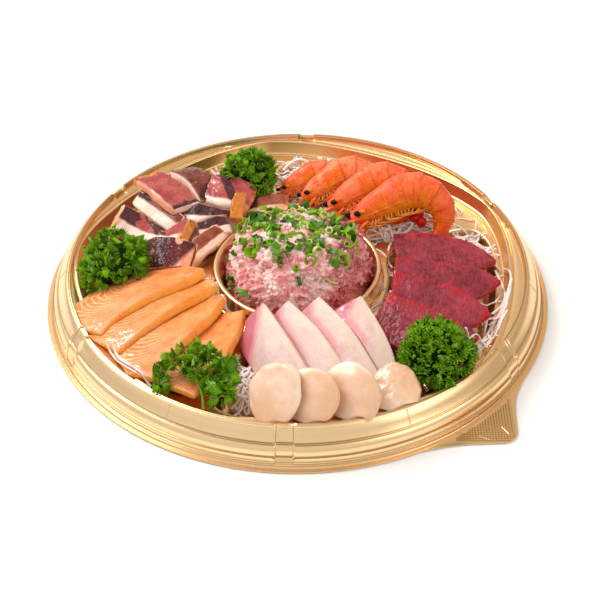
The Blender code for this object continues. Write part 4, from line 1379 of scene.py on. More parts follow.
def add_fan(parts, unit):
    """The tail fan: five overlapping blades."""
    for k, spread in enumerate((-0.95, -0.5, 0.0, 0.5, 0.95)):
        foot = np.array((45.5, -15.5, 1.2 * (k - 2)))
        tip = np.array((33.5 + 2.4 * abs(spread), -17.0 - 0.5 * abs(spread), spread * 8.2))
        blade = (foot, (foot + tip) / 2 + (0, -0.7, 0), tip)
        parts.add(limb(blade, BLADE_WIDTHS, unit, 8, 0.28), along=0.97, back=0.8)


def prawn_turn(heading, recline, pitch):
    return np.array(Matrix.Rotation(radians(heading), 3, "Z") @ Matrix.Rotation(radians(recline), 3, "X")
                    @ Matrix.Rotation(radians(pitch), 3, "Z"))


def make_prawn(index, size, heading, recline, pitch, pale):
    node = f"prawn_{index}"
    turn = prawn_turn(heading, recline, pitch)
    parts = Parts("along", "back", "leg", "eye", "round", "roe", "pale")
    unit = size * MM
    points, faces, lengths, turns = body_rings(unit)
    body = np.array(points) @ turn.T
    angles = [(s % BODY_SIDES) / BODY_SIDES for s in range(len(points))]
    parts.add((points, faces), along=lengths, back=turns, round=np.abs(np.array(angles) - 0.5), pale=pale)
    add_shell_edges(parts, unit)
    add_head_parts(parts, unit)
    add_legs(parts, unit, index)
    add_fan(parts, unit)
    low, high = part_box(node)
    shift = np.array(high) - body.max(axis=0)
    parts.points = np.array(parts.points) @ turn.T + shift
    mesh = parts.mesh(node + "_whole")
    work = bmesh.new()
    work.from_mesh(mesh)
    bmesh.ops.recalc_face_normals(work, faces=work.faces)
    work.to_mesh(mesh)
    work.free()
    spots = points_of(mesh)
    waves = bumps(spots, 5, index) * 0.3
    waves += bumps(spots, 1.8, index) * 0.14
    push_out(mesh, waves * MM)
    kept_in(mesh, low, high, (6, 6, 0))
    add_piece(node + "_whole", mesh, PRAWN, (node,))
    print(node, "eye at", [round(float(c) / MM, 1) for c in shift], "faces", len(mesh.polygons))

# %% Prawn finish
def prawn_finish():
    prawn = Finish("prawn", 1.4, 0.12, coat=(0.12, 0.04), soft=(0.08, 0.002, (1.0, 0.35, 0.15)))
    along = prawn.stored("along")
    patchy, fine, blotch = prawn.mottle(110.0), prawn.mottle(520.0), prawn.mottle(230.0)
    round_body = vector_of(along * 95.0, prawn.stored("round") * 9.0, 0.0)
    hoops = noise_value(round_body, 1.0, 2.0, 0.6, 0.3).ranged(0.42, 0.6)
    height = prawn.stored("back") + (patchy - 0.5) * 0.9
    washed = prawn.stored("pale") * patchy.ranged(0.35, 0.75)
    lines = [maths("ABSOLUTE", along - (end - 0.006)).ranged(0.002, 0.009, 1.0, 0.0) for end in SHELL_ENDS]
    rear = lines[0]
    for line in lines[1:]:
        rear = maths("MAXIMUM", rear, line)
    body = layered(
        mixed(blotch, (0.78, 0.06, 0.002), (0.96, 0.15, 0.004)),
        # painted highlight: the top of the back is painted lighter and pinker where the light from above
        # falls on the shell
        (height.ranged(0.1, 0.85), mixed(blotch, (0.88, 0.075, 0.03), (1.0, 0.165, 0.085))),
        (height.ranged(-0.5, 0.05, 0.95, 0.0), mixed(blotch, (0.72, 0.105, 0.001), (0.9, 0.27, 0.004))),
        (height.ranged(-1.05, -0.5, 0.75, 0.0), (0.7, 0.12, 0.01)),
        (along.ranged(0.5, 0.9, 0.0, 0.8), (0.7, 0.034, 0.001)),
        # the stripes, painted pinker towards the back as part of the same highlight
        (hoops * 0.22, mixed(height.ranged(-0.3, 0.7), (0.98, 0.36, 0.02), (1.0, 0.3, 0.17))),
        (washed * 0.38, (1.0, 0.42, 0.18)),
        (rear * 0.3, (0.55, 0.03, 0.002)),
        (fine * 0.2, (0.98, 0.27, 0.05)),
        (prawn.stored("leg") * 0.75, mixed(blotch, (0.66, 0.17, 0.01), (0.86, 0.4, 0.075))),
        (prawn.stored("roe"), (0.5, 0.008, 0.003)),
        (prawn.stored("eye"), (0.008, 0.007, 0.009)))
    return prawn.done(body, prawn.wetness(190.0, 0.14, 0.38), fine.times_add(0.5, rear * -0.8), 0.35, 0.75)


PRAWN = prawn_finish()
make_prawn(1, 0.7, 6, 50, 0, 0.9)
make_prawn(2, 0.85, 6, 52, 2, 1.0)
make_prawn(3, 0.92, 5, 54, 3, 0.5)
make_prawn(4, 1.02, 3, 56, 0, 0.0)

# %% [markdown]
# ## Things that repeat
# Crumbs of minced tuna, cut scallion, parsley leaflets, shreds of daikon and the milling on the
# tray's edge all repeat by a rule. Two Geometry Nodes trees make them. The first scatters a few
# different small shapes over a surface, each with its own turn, lean, size and tone. The second
# draws tubes along paths, each as thick as its path says. Both keep a fixed seed.

# %% The scattering tree
def grow_tree(name, inputs):
    """A tree that is given a geometry and a finish, and hands out a geometry."""
    given = new_group(name, "Geometry", {"Geometry": "Geometry", **inputs, "Finish": "Material"},
                      ("Geometry", "Geometry"))
    return given["Geometry"].tree, given


def grow_step(tree, kind, inputs, **options):
    """One step of a tree that grows things, and the first thing it hands out."""
    return value_of(tree, "GeometryNode" + kind, inputs, **options)


def stored_number(tree, name):
    return grow_step(tree, "InputNamedAttribute", {"Name": name}, data_type="FLOAT")


def finished_tree(given, geometry):
    """Make the copies real, give them their finish and hand them out."""
    tree = geometry.tree
    real = grow_step(tree, "RealizeInstances", {"Geometry": geometry})
    return handed_out(grow_step(tree, "SetMaterial", {"Geometry": real, "Material": given["Finish"]}))


def make_scatter_tree():
    tree, given = grow_tree("scatter", {
        "Shapes": "Collection", "Spacing": 0.002, "Per square metre": 1e5, "Smallest": 0.8,
        "Largest": 1.2, "Lean": 0.5, "Lift": 0.0, "Seed": 1})

    def spread(low, high, salt, kind="FLOAT", first=2, result=1):
        """A number of its own for each shape. First and result are its sockets' places."""
        inputs = {first: low, first + 1: high, "Seed": given["Seed"] + float(salt)}
        return value_of(tree, "FunctionNodeRandomValue", inputs, result, data_type=kind)

    spots = add_node(tree, "GeometryNodeDistributePointsOnFaces",
                     {"Mesh": given["Geometry"], "Distance Min": given["Spacing"],
                      "Density Max": given["Per square metre"],
                      "Density Factor": stored_number(tree, "cover"), "Seed": given["Seed"]},
                     distribute_method="POISSON").outputs
    least = given["Lean"] * -1.0
    leans = vector_of(spread(least, given["Lean"], 11), spread(least, given["Lean"], 12),
                      spread(0.0, tau, 13))
    turned = value_of(tree, "FunctionNodeRotateRotation",
                      {"Rotation": Value(spots["Rotation"]), "Rotate By": leans}, rotation_space="LOCAL")
    shapes = grow_step(tree, "CollectionInfo", {"Collection": given["Shapes"],
                                                "Separate Children": True, "Reset Children": True})
    placed = grow_step(tree, "InstanceOnPoints",
                       {"Points": Value(spots["Points"]), "Instance": shapes, "Pick Instance": True,
                        "Instance Index": spread(0, 99, 14, "INT", 4, 2),
                        "Rotation": turned,
                        "Scale": spread(given["Smallest"], given["Largest"], 15)})
    lifted = grow_step(tree, "TranslateInstances",
                       {"Instances": placed, "Translation": vector_of(0.0, 0.0, given["Lift"]),
                        "Local Space": True})
    toned = grow_step(tree, "StoreNamedAttribute",
                      {"Geometry": lifted, "Name": "tone", "Value": spread(0.0, 1.0, 16)},
                      data_type="FLOAT", domain="INSTANCE")
    return finished_tree(given, toned)


SCATTER = make_scatter_tree()
print("scatter tree:", len(SCATTER.nodes), "nodes")

# %% The tree for tubes along paths
def make_tube_tree():
    tree, given = grow_tree("tubes", {"Sides": 6, "Flatness": 1.0})
    thick = stored_number(tree, "thick")
    paths = grow_step(tree, "MeshToCurve", {"Mesh": given["Geometry"]})
    sized = grow_step(tree, "SetCurveRadius", {"Curve": paths, "Radius": thick})
    profile = grow_step(tree, "CurvePrimitiveCircle", {"Resolution": given["Sides"], "Radius": 1.0})
    pressed = grow_step(tree, "Transform", {"Geometry": profile,
                                            "Scale": vector_of(1.0, given["Flatness"], 1.0)})
    skin = grow_step(tree, "CurveToMesh", {"Curve": sized, "Profile Curve": pressed,
                                           "Fill Caps": True, "Scale": thick})
    smooth = grow_step(tree, "SetShadeSmooth", {"Geometry": skin})
    return finished_tree(given, smooth)


TUBES = make_tube_tree()
print("tube tree:", len(TUBES.nodes), "nodes")

# %% Running a tree
def grown(tree, mesh, settings):
    """The mesh that a tree makes from a base mesh, with its named inputs set first."""
    thing = put_in("grown", mesh)
    grower = thing.modifiers.new("grow", "NODES")
    grower.node_group = tree
    for item in tree.interface.items_tree:
        if item.item_type == "SOCKET" and item.in_out == "INPUT" and item.name in settings:
            grower[item.identifier] = settings[item.name]
    return baked(thing)


def shape_set(name, meshes):
    """A collection of small shapes to scatter. It isn't part of the scene itself."""
    made = bpy.data.collections.new(name)
    for i, mesh in enumerate(meshes):
        made.objects.link(bpy.data.objects.new(f"{name}_{i:02d}", mesh))
    return made


def scattered(base, cover, shapes, finish, seed, spacing, density, sizes, lean, lift):
    """Scatter the shapes over a copy of the base where cover says so. Spacing and lift are in mm,
    density is for a square metre, and sizes are the smallest and the largest."""
    mesh = base.copy()
    store(mesh, cover=cover)
    return grown(SCATTER, mesh, {
        "Shapes": shapes, "Finish": finish, "Seed": seed, "Spacing": spacing * MM,
        "Per square metre": density, "Smallest": sizes[0], "Largest": sizes[1], "Lean": lean,
        "Lift": lift * MM})


def drawn_tubes(paths, thicks, finish, sides=6, flatness=1.0):
    """Tubes along paths. Each path has its own thickness or a row of them."""
    points, edges, sizes = [], [], []
    for path, thick in zip(paths, thicks):
        first = len(points)
        points.extend(path)
        edges.extend((first + k, first + k + 1) for k in range(len(path) - 1))
        sizes.extend(np.broadcast_to(thick, len(path)))
    mesh = plain_mesh("paths", points, edges=edges)
    store(mesh, thick=sizes)
    return grown(TUBES, mesh, {"Sides": sides, "Flatness": flatness, "Finish": finish})


def triangles(mesh):
    return sum(len(face.vertices) - 2 for face in mesh.polygons)


print("trees:", SCATTER.name, TUBES.name)

# %% [markdown]
# The darkest pieces carry small near-white beads: painted glints for the light their wet skin catches.

# %% Drops as painted glints
def drop_shape(radius):
    points, faces = ball((0, 0, 0), np.array((1.2, 0.8, 0.45)) * radius, sides=8, rings=4)
    made = plain_mesh("drop", points, faces)
    made.shade_smooth()
    return made


# painted glints: plain near-white beads stand in for the highlights on wet skin
WHITE_GLINT = plain_finish("glaze", (0.93, 0.88, 0.88), 0.12)
drops = shape_set("drop", [drop_shape(0.24 * MM), drop_shape(0.36 * MM)])
for seed, (index, spacing) in enumerate(((8, 1.6), (4, 4.5))):
    skin = bpy.data.objects[f"squid_{index}_piece"].data
    lie = stored_vectors(skin, "place")[:, 0]
    upward = smoothstep(0.5, 0.8, normals_of(skin)[:, 2])
    share = 0.25 + 0.75 * stripe(lie, 0.15, 0.35)
    beads = scattered(skin, upward * share, drops, WHITE_GLINT, 30 + seed, spacing, 3e5, (0.5, 1.2), 0.2, 0.1)
    add_piece(f"squid_{index}_drops", beads, WHITE_GLINT)
    print("drops on squid", index, triangles(beads), "triangles")

# %% [markdown]
# ### Minced tuna
# The mince is scraped and chopped fatty tuna: a soft paste of short crumbs, pale where it is
# fatty, and painted darker red as shade on the right side and low at the front, and redder in some
# patches. Its core is the solid's outline carved with lumps of three sizes, with painted shade in
# the hollows between them, and loose crumbs a few millimetres long lie all over it.

# %% Mince core
def mince_finish():
    mince = Finish("mince", 1.38, 0.2, coat=(0.22, 0.05), soft=(0.4, 0.0022, (1.0, 0.4, 0.35)))
    share = mince.stored("tone").times_add(0.25, mince.mottle(90.0) * 0.75).ranged(0.15, 0.8)
    body = layered(
        mixed(share, (0.94, 0.37, 0.36), (1.0, 0.74, 0.68)),
        # painted shade: darker red on the right side and low at the front, with redder patches
        (mince.stored("red"), mixed(share, (0.44, 0.07, 0.085), (0.82, 0.3, 0.29))),
        # painted shade in the hollows between lumps
        (mince.stored("hollow") * 0.55, (0.62, 0.15, 0.15)))
    return mince.done(body, mince.wetness(330.0, 0.12, 0.38), mince.mottle(560.0), 0.18, 0.5)


MINCE = mince_finish()


def mince_red_and_painted_shade(points):
    """Where the mince is painted darker red: as shade on the right side and low at the front, and in some
    patches.
    """
    right = smoothstep(14, 30, points[:, 0] / MM)
    low = 1 - smoothstep(13, 27, points[:, 2] / MM)
    patches = smoothstep(0.15, 0.55, bumps(points, 11, 71))
    return np.clip(0.75 * right + 0.7 * low + 0.35 * patches, 0, 1)


def make_mince_core():
    mesh = smooth_skin("minced_tuna", 0.7 * MM, 8, crease=0.0)
    points = points_of(mesh)
    big = bumps(points, 14, 72) * 3.2
    lumps = (0.4 - np.abs(bumps(points, 8.0, 73))) * 5.4
    chunks = (0.4 - np.abs(bumps(points, 4.0, 77))) * 3.6
    crumbs = (0.4 - np.abs(bumps(points, 2.0, 74))) * 0.8
    upper = smoothstep(3, 12, points[:, 2] / MM)
    push_out(mesh, (big + lumps + chunks + crumbs - 3.2) * MM * upper)
    # painted shade: darker where the relief dips between lumps
    store(mesh, hollow=1 - smoothstep(-1.4, 0.9, lumps * 0.6 + chunks * 1.1 + crumbs))
    kept_in(mesh, cad_box[0], cad_box[1] - Vector((0, 0, 0.4 * MM)))
    points = points_of(mesh)
    store(mesh, red=mince_red_and_painted_shade(points), tone=0.5 + 0.5 * bumps(points, 3, 76))
    return mesh


mince_core = make_mince_core()
print("mince core faces:", len(mince_core.polygons))

# %% Loose crumbs of mince
def crumb_shape(seed, length):
    """A short rounded crumb of a few dozen faces."""
    path = np.array(((-length, 0, 0), (-0.4 * length, 0.25, 0.1), (0.3 * length, -0.2, 0.15),
                     (length, 0.15, 0))) * MM
    radii = np.array((0.55, 1.05, 1.1, 0.6)) * MM
    points, faces = tube(along_curve(path, 5), np.interp(np.linspace(0, 1, 5), np.linspace(0, 1, 4),
                                                         radii), 7, 0.8)
    points = np.array(points)
    points *= 1 + 0.3 * bumps(points, 1.2, seed)[:, None]
    made = plain_mesh(f"crumb_{seed}", points, faces)
    made.shade_smooth()
    return made


crumbs = shape_set("crumb", [crumb_shape(k, 0.7 + 0.25 * k) for k in range(4)])
core_points = points_of(mince_core)
crumb_cover = smoothstep(4, 12, core_points[:, 2] / MM)
loose = scattered(mince_core, crumb_cover, crumbs, MINCE, 5, 2.2, 2.4e5, (0.7, 1.5), 0.7, -0.35)
kept_in(loose, cad_box[0], cad_box[1])
store(loose, red=mince_red_and_painted_shade(points_of(loose)))
add_piece("mince_core", mince_core, MINCE, ("minced_tuna",))
add_piece("mince_crumbs", loose, MINCE)
print("loose crumbs:", triangles(loose), "triangles")

# %% [markdown]
# ### Chopped scallion
# Thin green rings and short lengths, cut across the leaf, with a few pale discs from the stalk.
# They lie over the top and the back of the mince. A few have rolled down the front.

# %% Scallion
def ring_shape(radius, wall, height, turn=tau, oval=1.0, skew=0.0):
    """A cut ring in mm, or an open strip where turn is less than a full circle."""
    radius, wall, height = radius * MM, wall * MM, height * MM
    sides = 14
    closed = turn > tau - 0.01
    count = sides if closed else sides + 1
    points, faces = [], []
    for level in (-0.5, 0.5):
        for r in (radius, radius - wall):
            for k in range(count):
                a = turn * k / sides
                lift = level * height + skew * cos(a) * radius
                points.append((r * cos(a), r * sin(a) * oval, lift + height * 0.5))
    rings = [[level * count + k for k in range(count)] for level in range(4)]
    low_out, low_in, high_out, high_in = rings
    for k in range(sides):
        n = (k + 1) % count
        faces += [(low_out[k], low_out[n], high_out[n], high_out[k]),
                  (low_in[n], low_in[k], high_in[k], high_in[n]),
                  (high_out[k], high_out[n], high_in[n], high_in[k]),
                  (low_out[n], low_out[k], low_in[k], low_in[n])]
    if not closed:
        faces += [(low_out[0], high_out[0], high_in[0], low_in[0]),
                  (low_out[-1], low_in[-1], high_in[-1], high_out[-1])]
    return plain_mesh("ring", points, faces)


def scallion_finish():
    leaf = Finish("scallion", 1.42, 0.3, soft=(0.15, 0.0015, (0.6, 1.0, 0.3)))
    tone = leaf.stored("tone")
    body = layered(
        mixed(tone.ranged(0.0, 0.34), (0.01, 0.085, 0.003), (0.055, 0.23, 0.004)),
        (tone.ranged(0.36, 0.66), (0.24, 0.43, 0.012)),
        (tone.ranged(0.8, 0.95), (0.6, 0.66, 0.17)),
        (leaf.mottle(380.0) * 0.25, (0.32, 0.52, 0.03)))
    return leaf.done(body, leaf.wetness(500.0, 0.16, 0.4))


SCALLION = scallion_finish()
rings = shape_set("scallion", [
    ring_shape(2.3, 0.55, 1.8, oval=0.8),
    ring_shape(2.0, 0.5, 3.4, oval=0.6, skew=0.2),
    ring_shape(2.7, 0.6, 1.4, oval=0.9, skew=-0.15),
    ring_shape(1.5, 0.5, 2.6),
    ring_shape(3.4, 0.5, 2.8, turn=2.2),
    ring_shape(2.6, 0.45, 4.2, turn=2.6, skew=0.3),
    ring_shape(5.0, 0.45, 2.0, turn=1.2),
    ring_shape(2.1, 0.5, 5.0, turn=3.4, oval=0.7)])
across = core_points[:, 0] / MM
back = core_points[:, 1] / MM
edge = bumps(core_points, 9, 81) * 0.45
patch = 1 - smoothstep(0.75, 1.0, np.hypot((across + 2) / 37, (back - 9) / 29) + edge)
patch *= smoothstep(22, 30, core_points[:, 2] / MM)
patch *= 0.35 + 0.65 * smoothstep(-0.25, 0.05, bumps(core_points, 7, 82))
for x, y, reach in ((0, -27, 3.4), (24, -19, 2.6), (-31, -24, 2.2), (-38, -12, 2.2)):
    near = 1 - smoothstep(reach * 0.7, reach, np.hypot(across - x, back - y))
    patch = np.maximum(patch, near * 0.9)
greens = scattered(mince_core, patch, rings, SCALLION, 9, 2.9, 2.6e5, (0.9, 1.5), 1.2, 0.5)
kept_in(greens, cad_box[0], cad_box[1])
add_piece("scallion", greens, SCALLION)
print("scallion:", triangles(greens), "triangles")

# %% [markdown]
# ### Curly parsley
# Each sprig is a crowd of small leaflets. A leaflet is a toothed fan a few millimetres wide with
# a ruffled edge, paler towards its stalk and painted lighter at its tips, where the light catches
# them. The gaps between leaflets stay almost black: each heap keeps a smaller near-black core
# inside as painted shade, and the leaflets stand out of its surface.

# %% Parsley leaflets
def leaflet_shape(reach, spread, ruffles, wave, curl, seed, teeth=8):
    """One toothed fan, reach mm long. It grows along +Z from its stalk and has a real thickness."""
    reach *= MM
    columns, rows = teeth * 2, (0.1, 0.48, 0.78, 1.0)
    points, faces, tips = [], [], []
    for j, v in enumerate(rows):
        for i in range(columns + 1):
            u = 2 * i / columns - 1
            a = u * spread
            r = reach * v * (1 - 0.16 * u * u)
            if j == len(rows) - 1:
                r *= 1.1 if i % 2 else 0.62
            lift = wave * reach * v ** 1.3 * sin(ruffles * a + seed) + curl * reach * v * v
            points.append((r * sin(a), lift, r * cos(a)))
            tips.append(v if j < len(rows) - 1 or i % 2 else 0.7)
    width = columns + 1
    for j in range(len(rows) - 1):
        for i in range(columns):
            k = j * width + i
            faces.append((k, k + 1, k + 1 + width, k + width))
    flat = plain_mesh("leaflet", points, faces)
    store(flat, tip=tips)
    made = thickened(flat, 0.35 * MM, 0.0)
    made.shade_smooth()
    return made


def parsley_finish():
    leaf = Finish("parsley", 1.4, 0.18, soft=(0.1, 0.001, (0.5, 1.0, 0.15)))
    tip, tone, deep = leaf.stored("tip"), leaf.stored("tone"), leaf.stored("deep")
    patchy = leaf.mottle(240.0)
    body = layered(
        mixed(tone, (0.022, 0.12, 0.002), (0.18, 0.4, 0.004)),
        (patchy * 0.35, (0.24, 0.47, 0.008)),
        # painted light: the tips are lighter yellow-green where the light catches them
        (tip.ranged(0.75, 1.0, 0.0, 0.45), (0.34, 0.56, 0.014)),
        (tip.ranged(0.05, 0.45, 0.55, 0.0), (0.2, 0.42, 0.045)),
        # painted shade: the near-black of the core, in the gaps between leaflets
        (tone.ranged(0.93, 1.0, 0.0, 0.55), (0.3, 0.55, 0.14)), (deep, (0.003, 0.016, 0.001)))
    return leaf.done(body, maths("MAXIMUM", patchy.ranged(0.2, 0.8, 0.28, 0.55), deep))


PARSLEY = parsley_finish()
CURLY = ((5.6, 1.05, 5.0, 0.2, 0.15, 0.3),
         (4.8, 1.2, 6.0, 0.24, -0.2, 1.7),
         (6.2, 0.9, 4.0, 0.16, 0.3, 2.9),
         (4.2, 1.35, 7.0, 0.26, 0.1, 4.4, 7))
BROAD = ((8.6, 0.66, 3.0, 0.1, 0.25, 0.8, 6),
         (7.6, 0.8, 4.0, 0.13, -0.25, 2.0, 7),
         (9.6, 0.5, 2.5, 0.09, 0.35, 3.1, 5),
         (6.2, 0.9, 5.0, 0.18, 0.1, 5.2, 7))
curly = shape_set("curly", [leaflet_shape(*row) for row in CURLY])
broad = shape_set("broad", [leaflet_shape(*row) for row in BROAD])


def shrunk(node, points, inset):
    """Points drawn in towards the middle of a node's box, by the same depth on every side."""
    low, high = (np.array(corner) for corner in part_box(node))
    middle, half = (low + high) / 2, (high - low) / 2
    return middle + (points - middle) * np.maximum(0.3, (half - inset) / half)


def parsley_core(node, inset):
    mesh = smooth_skin(node, 1.1 * MM, 12, crease=0.0)
    set_points(mesh, shrunk(node, points_of(mesh), inset * MM))
    points = points_of(mesh)
    lumps = bumps(points, 9, 90) * 4.2 + bumps(points, 3, 91) * 0.6
    push_out(mesh, lumps * MM)
    return mesh


def make_parsley(node, inset, shapes, spacing, sizes, seed):
    """A heap: leaflets standing on its inset surface, over a near-black core that is painted shade for the
    gaps between them.
    """
    base = parsley_core(node, inset)
    points, normals = points_of(base), normals_of(base)
    low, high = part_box(node)
    cover = smoothstep(-1.0, -0.6, normals[:, 2]) * smoothstep(-1 * MM, 1 * MM, points[:, 2] - low.z)
    cover *= 0.25 + 0.75 * smoothstep(-0.35, 0.05, bumps(points, 6, seed + 92))
    leaves = scattered(base, cover, shapes, PARSLEY, seed, spacing, 6e5, sizes, 1.05, -1.0)
    kept_in(leaves, low, high, (2, 2, 0))
    set_points(base, shrunk(node, points, 4.0 * MM))
    # the core is painted near-black as the shade in the gaps between the leaflets
    store(base, deep=0.93, tip=0.9)
    add_piece(node + "_core", base, PARSLEY, (node,))
    add_piece(node + "_leaves", leaves, PARSLEY)
    print(node, "leaves:", triangles(leaves), "triangles")


make_parsley("parsley_1", 4.0, broad, 2.3, (0.4, 0.95), 3)
make_parsley("parsley_2", 2.8, curly, 2.3, (0.6, 1.2), 4)
make_parsley("parsley_4", 3.0, curly, 2.2, (0.5, 1.2), 6)

# %% [markdown]
# One sprig lies over the salmon as an open arch. Its stalk stands behind the tray's wall and
# branches at the top, and leaflets line both arms, so the salmon shows through the middle.

# %% The arched sprig
ARCH_PATH = (
    (-74.8, -110.8, 21.5), (-75.6, -102.5, 26.5), (-72.0, -96.0, 30.0), (-62.5, -93.5, 33.0),
    (-50.0, -92.5, 34.0), (-41.5, -97.5, 33.0), (-36.5, -105.0, 30.5), (-36.0, -112.5, 27.0),
    (-43.5, -117.0, 24.0))
INNER_PATH = (
    (-60.5, -96.5, 32.5), (-55.5, -101.5, 31.5), (-49.5, -104.5, 29.5), (-45.0, -109.0, 27.5),
    (-41.5, -114.0, 25.0))
STEM_PATH = (
    (-50.8, -118.6, 17.5), (-52.0, -112.0, 24.0), (-56.5, -104.5, 29.5), (-61.5, -98.0, 32.0))
SIDE_STEM = ((-61.5, -98.0, 32.0), (-69.0, -99.5, 30.5), (-72.5, -105.0, 27.0))


def make_arched_sprig():
    limbs = [(ARCH_PATH, 2.0), (INNER_PATH, 1.6)]
    base = drawn_tubes([along_curve(np.array(path) * MM, 40) for path, _ in limbs],
                       [thick * MM for _, thick in limbs], PARSLEY, sides=10)
    leaves = scattered(base, 1.0, broad, PARSLEY, 8, 2.2, 7e5, (0.55, 1.05), 1.0, -1.6)
    low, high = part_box("parsley_3")
    kept_in(leaves, low, high, (1.5, 1.5, 1.5))
    add_piece("parsley_3_leaves", leaves, PARSLEY, ("parsley_3",))
    stems = drawn_tubes([along_curve(np.array(path) * MM, 24) for path in (STEM_PATH, SIDE_STEM, ARCH_PATH)],
                        [0.75 * MM, 0.55 * MM, 0.5 * MM], PARSLEY, sides=8)
    store(stems, tip=0.0, tone=0.6)
    add_piece("parsley_3_stems", stems, PARSLEY)
    print("arched sprig:", triangles(leaves), "triangles")


make_arched_sprig()

# %% [markdown]
# ### Shredded daikon
# White radish cut into long thin strands. Under the fish they pack into a mat. At the edges the
# strands lie loose, cross each other and bend along the wall, and the gold shows between them.
# Each bed keeps a thinner core with a fibrous face, painted a darker tan as the shade deep in the
# packed strands, and the strands lie over it wherever nothing covers it.

# %% What lies on top
def make_finder():
    """A function that says which node is on top at a place, and how high it is there."""
    points, faces, owners = [], [], []
    for name, thing in NODES.items():
        first = len(points)
        points.extend(v.co.copy() for v in thing.data.vertices)
        for face in thing.data.polygons:
            faces.append([first + k for k in face.vertices])
            owners.append(name)
    tree = BVHTree.FromPolygons(points, faces)

    def find(x, y):
        """The top owner and height. A bed counts as open under a prawn's high belly."""
        down = Vector((0, 0, -1))
        hit, normal, index, _ = tree.ray_cast(Vector((x, y, 0.2)), down)
        if hit is None:
            return None, 0.0
        top = (owners[index], hit.z)
        roof = None
        while hit is not None and (roof is not None or owners[index].startswith("prawn")):
            if normal.z < 0:
                roof = hit.z
            elif roof is not None:
                open_bed = owners[index].startswith("daikon") and roof - hit.z > HEADROOM
                return (owners[index], hit.z) if open_bed else top
            hit, normal, index, _ = tree.ray_cast(hit - Vector((0, 0, 1e-5)), down)
        return top
    return find


HEADROOM = 4.0 * MM
find_top = make_finder()
print("on top at the middle:", find_top(0.0, 0.0)[0])

# %% Daikon finish and beds
def daikon_finish():
    root = Finish("daikon", 1.38, 0.35, soft=(0.35, 0.003, (1.0, 0.75, 0.55)))
    body = layered(
        mixed(root.stored("tone"), (0.97, 0.75, 0.68), (1.0, 0.93, 0.89)),
        (root.mottle(120.0) * 0.25, (0.92, 0.7, 0.55)),
        # painted shade: the bed's core is darker tan, as the shade deep in the packed strands
        (root.stored("deep"), (0.62, 0.38, 0.25)))
    return root.done(body, root.wetness(300.0, 0.14, 0.34))


DAIKON = daikon_finish()
BEDS = [name for name in NODES if name.startswith("daikon")]


def make_bed(node):
    mesh = smooth_skin(node, 1.0 * MM, 4, crease=0.2)
    points = points_of(mesh)
    strands = [[noise.noise(Vector(p * way)) for p in points] for way in ((120, 620, 300), (640, 150, 300))]
    push_out(mesh, (np.max(strands, axis=0) * 1.6 - 1.8) * MM)
    # painted shade deep in the mat
    store(mesh, deep=0.75)
    add_piece(node + "_core", mesh, DAIKON, (node,))


for node in BEDS:
    make_bed(node)
print("beds:", BEDS)

# %% Loose strands
def strand_path(start, heading, steps, turn, lift, rng):
    """A strand that follows the heap and stops where it goes under something."""
    x, y = start
    path = []
    stride = 2.2 * MM
    height = None
    for _ in range(steps):
        owner, top = find_top(x, y)
        if owner is None or hypot(x, y) > LEDGE_CORNER_R - LEDGE_BOW:
            break
        if owner.startswith("daikon"):
            wanted = top + lift
        elif owner == "tray":
            wanted = max(top + 0.8 * MM, (height or top) - 1.3 * MM)
            if top > PLATE_Z + 2 * MM:
                break
        else:
            if path:
                path.append((x, y, height - 0.4 * MM))
            break
        height = wanted if height is None else height + 0.55 * (wanted - height)
        path.append((x, y, height))
        heading += turn + rng.normal(0, 0.1)
        x += cos(heading) * stride
        y += sin(heading) * stride
    return path


def open_spots(node, pitch=2.5 * MM):
    """Places on a bed that nothing covers."""
    low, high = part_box(node)
    return [(x, y) for x in np.arange(low.x, high.x, pitch) for y in np.arange(low.y, high.y, pitch)
            if find_top(x, y)[0] == node]


def loose_strands(node, seed, each=13e-6):
    """Strands for the open part of a bed: one for so much area."""
    rng = np.random.default_rng(seed)
    spots = open_spots(node)
    wanted = int(len(spots) * (2.5 * MM) ** 2 / each)
    paths, thicks = [], []
    for _ in range(wanted * 3):
        if len(paths) >= wanted:
            break
        x, y = spots[rng.integers(len(spots))]
        path = strand_path((x, y), rng.uniform(0, tau), int(rng.integers(6, 17)),
                           rng.normal(0, 0.09), rng.uniform(-1.0, 1.6) * MM, rng)
        if len(path) >= 4:
            paths.append(along_curve(np.array(path), 2 * len(path)))
            thicks.append(rng.uniform(0.62, 0.9) * MM)
    return paths, thicks


def add_strands(name, paths, thicks, seed):
    mesh = drawn_tubes(paths, thicks, DAIKON, sides=6, flatness=0.45)
    tones = bumps(points_of(mesh), 14, seed)
    store(mesh, tone=0.6 + 0.6 * tones)
    add_piece(name, mesh, DAIKON)
    return triangles(mesh)


for seed, node in enumerate(BEDS):
    paths, thicks = loose_strands(node, 200 + seed)
    print(node, "strands:", len(paths), add_strands(node + "_strands", paths, thicks, seed))

# %% [markdown]
# Some strands have slipped off their bed. They lie along the wall outside the tuna, over the
# ledge in front of the salmon, behind the squid and across the cup's rim. Each one is laid out
# by a few points, and its height comes from whatever is under it.

# %% Strands that have slipped
def laid_path(points, lift):
    """A strand through points in mm, resting on what is on top along its way."""
    path = along_curve(np.array([(x, y, 0.0) for x, y in points]) * MM, 22)
    for spot in path:
        spot[2] = find_top(spot[0], spot[1])[1] + lift * MM
    for _ in range(3):
        path[1:-1, 2] = (path[:-2, 2] + 2 * path[1:-1, 2] + path[2:, 2]) / 4
    return path


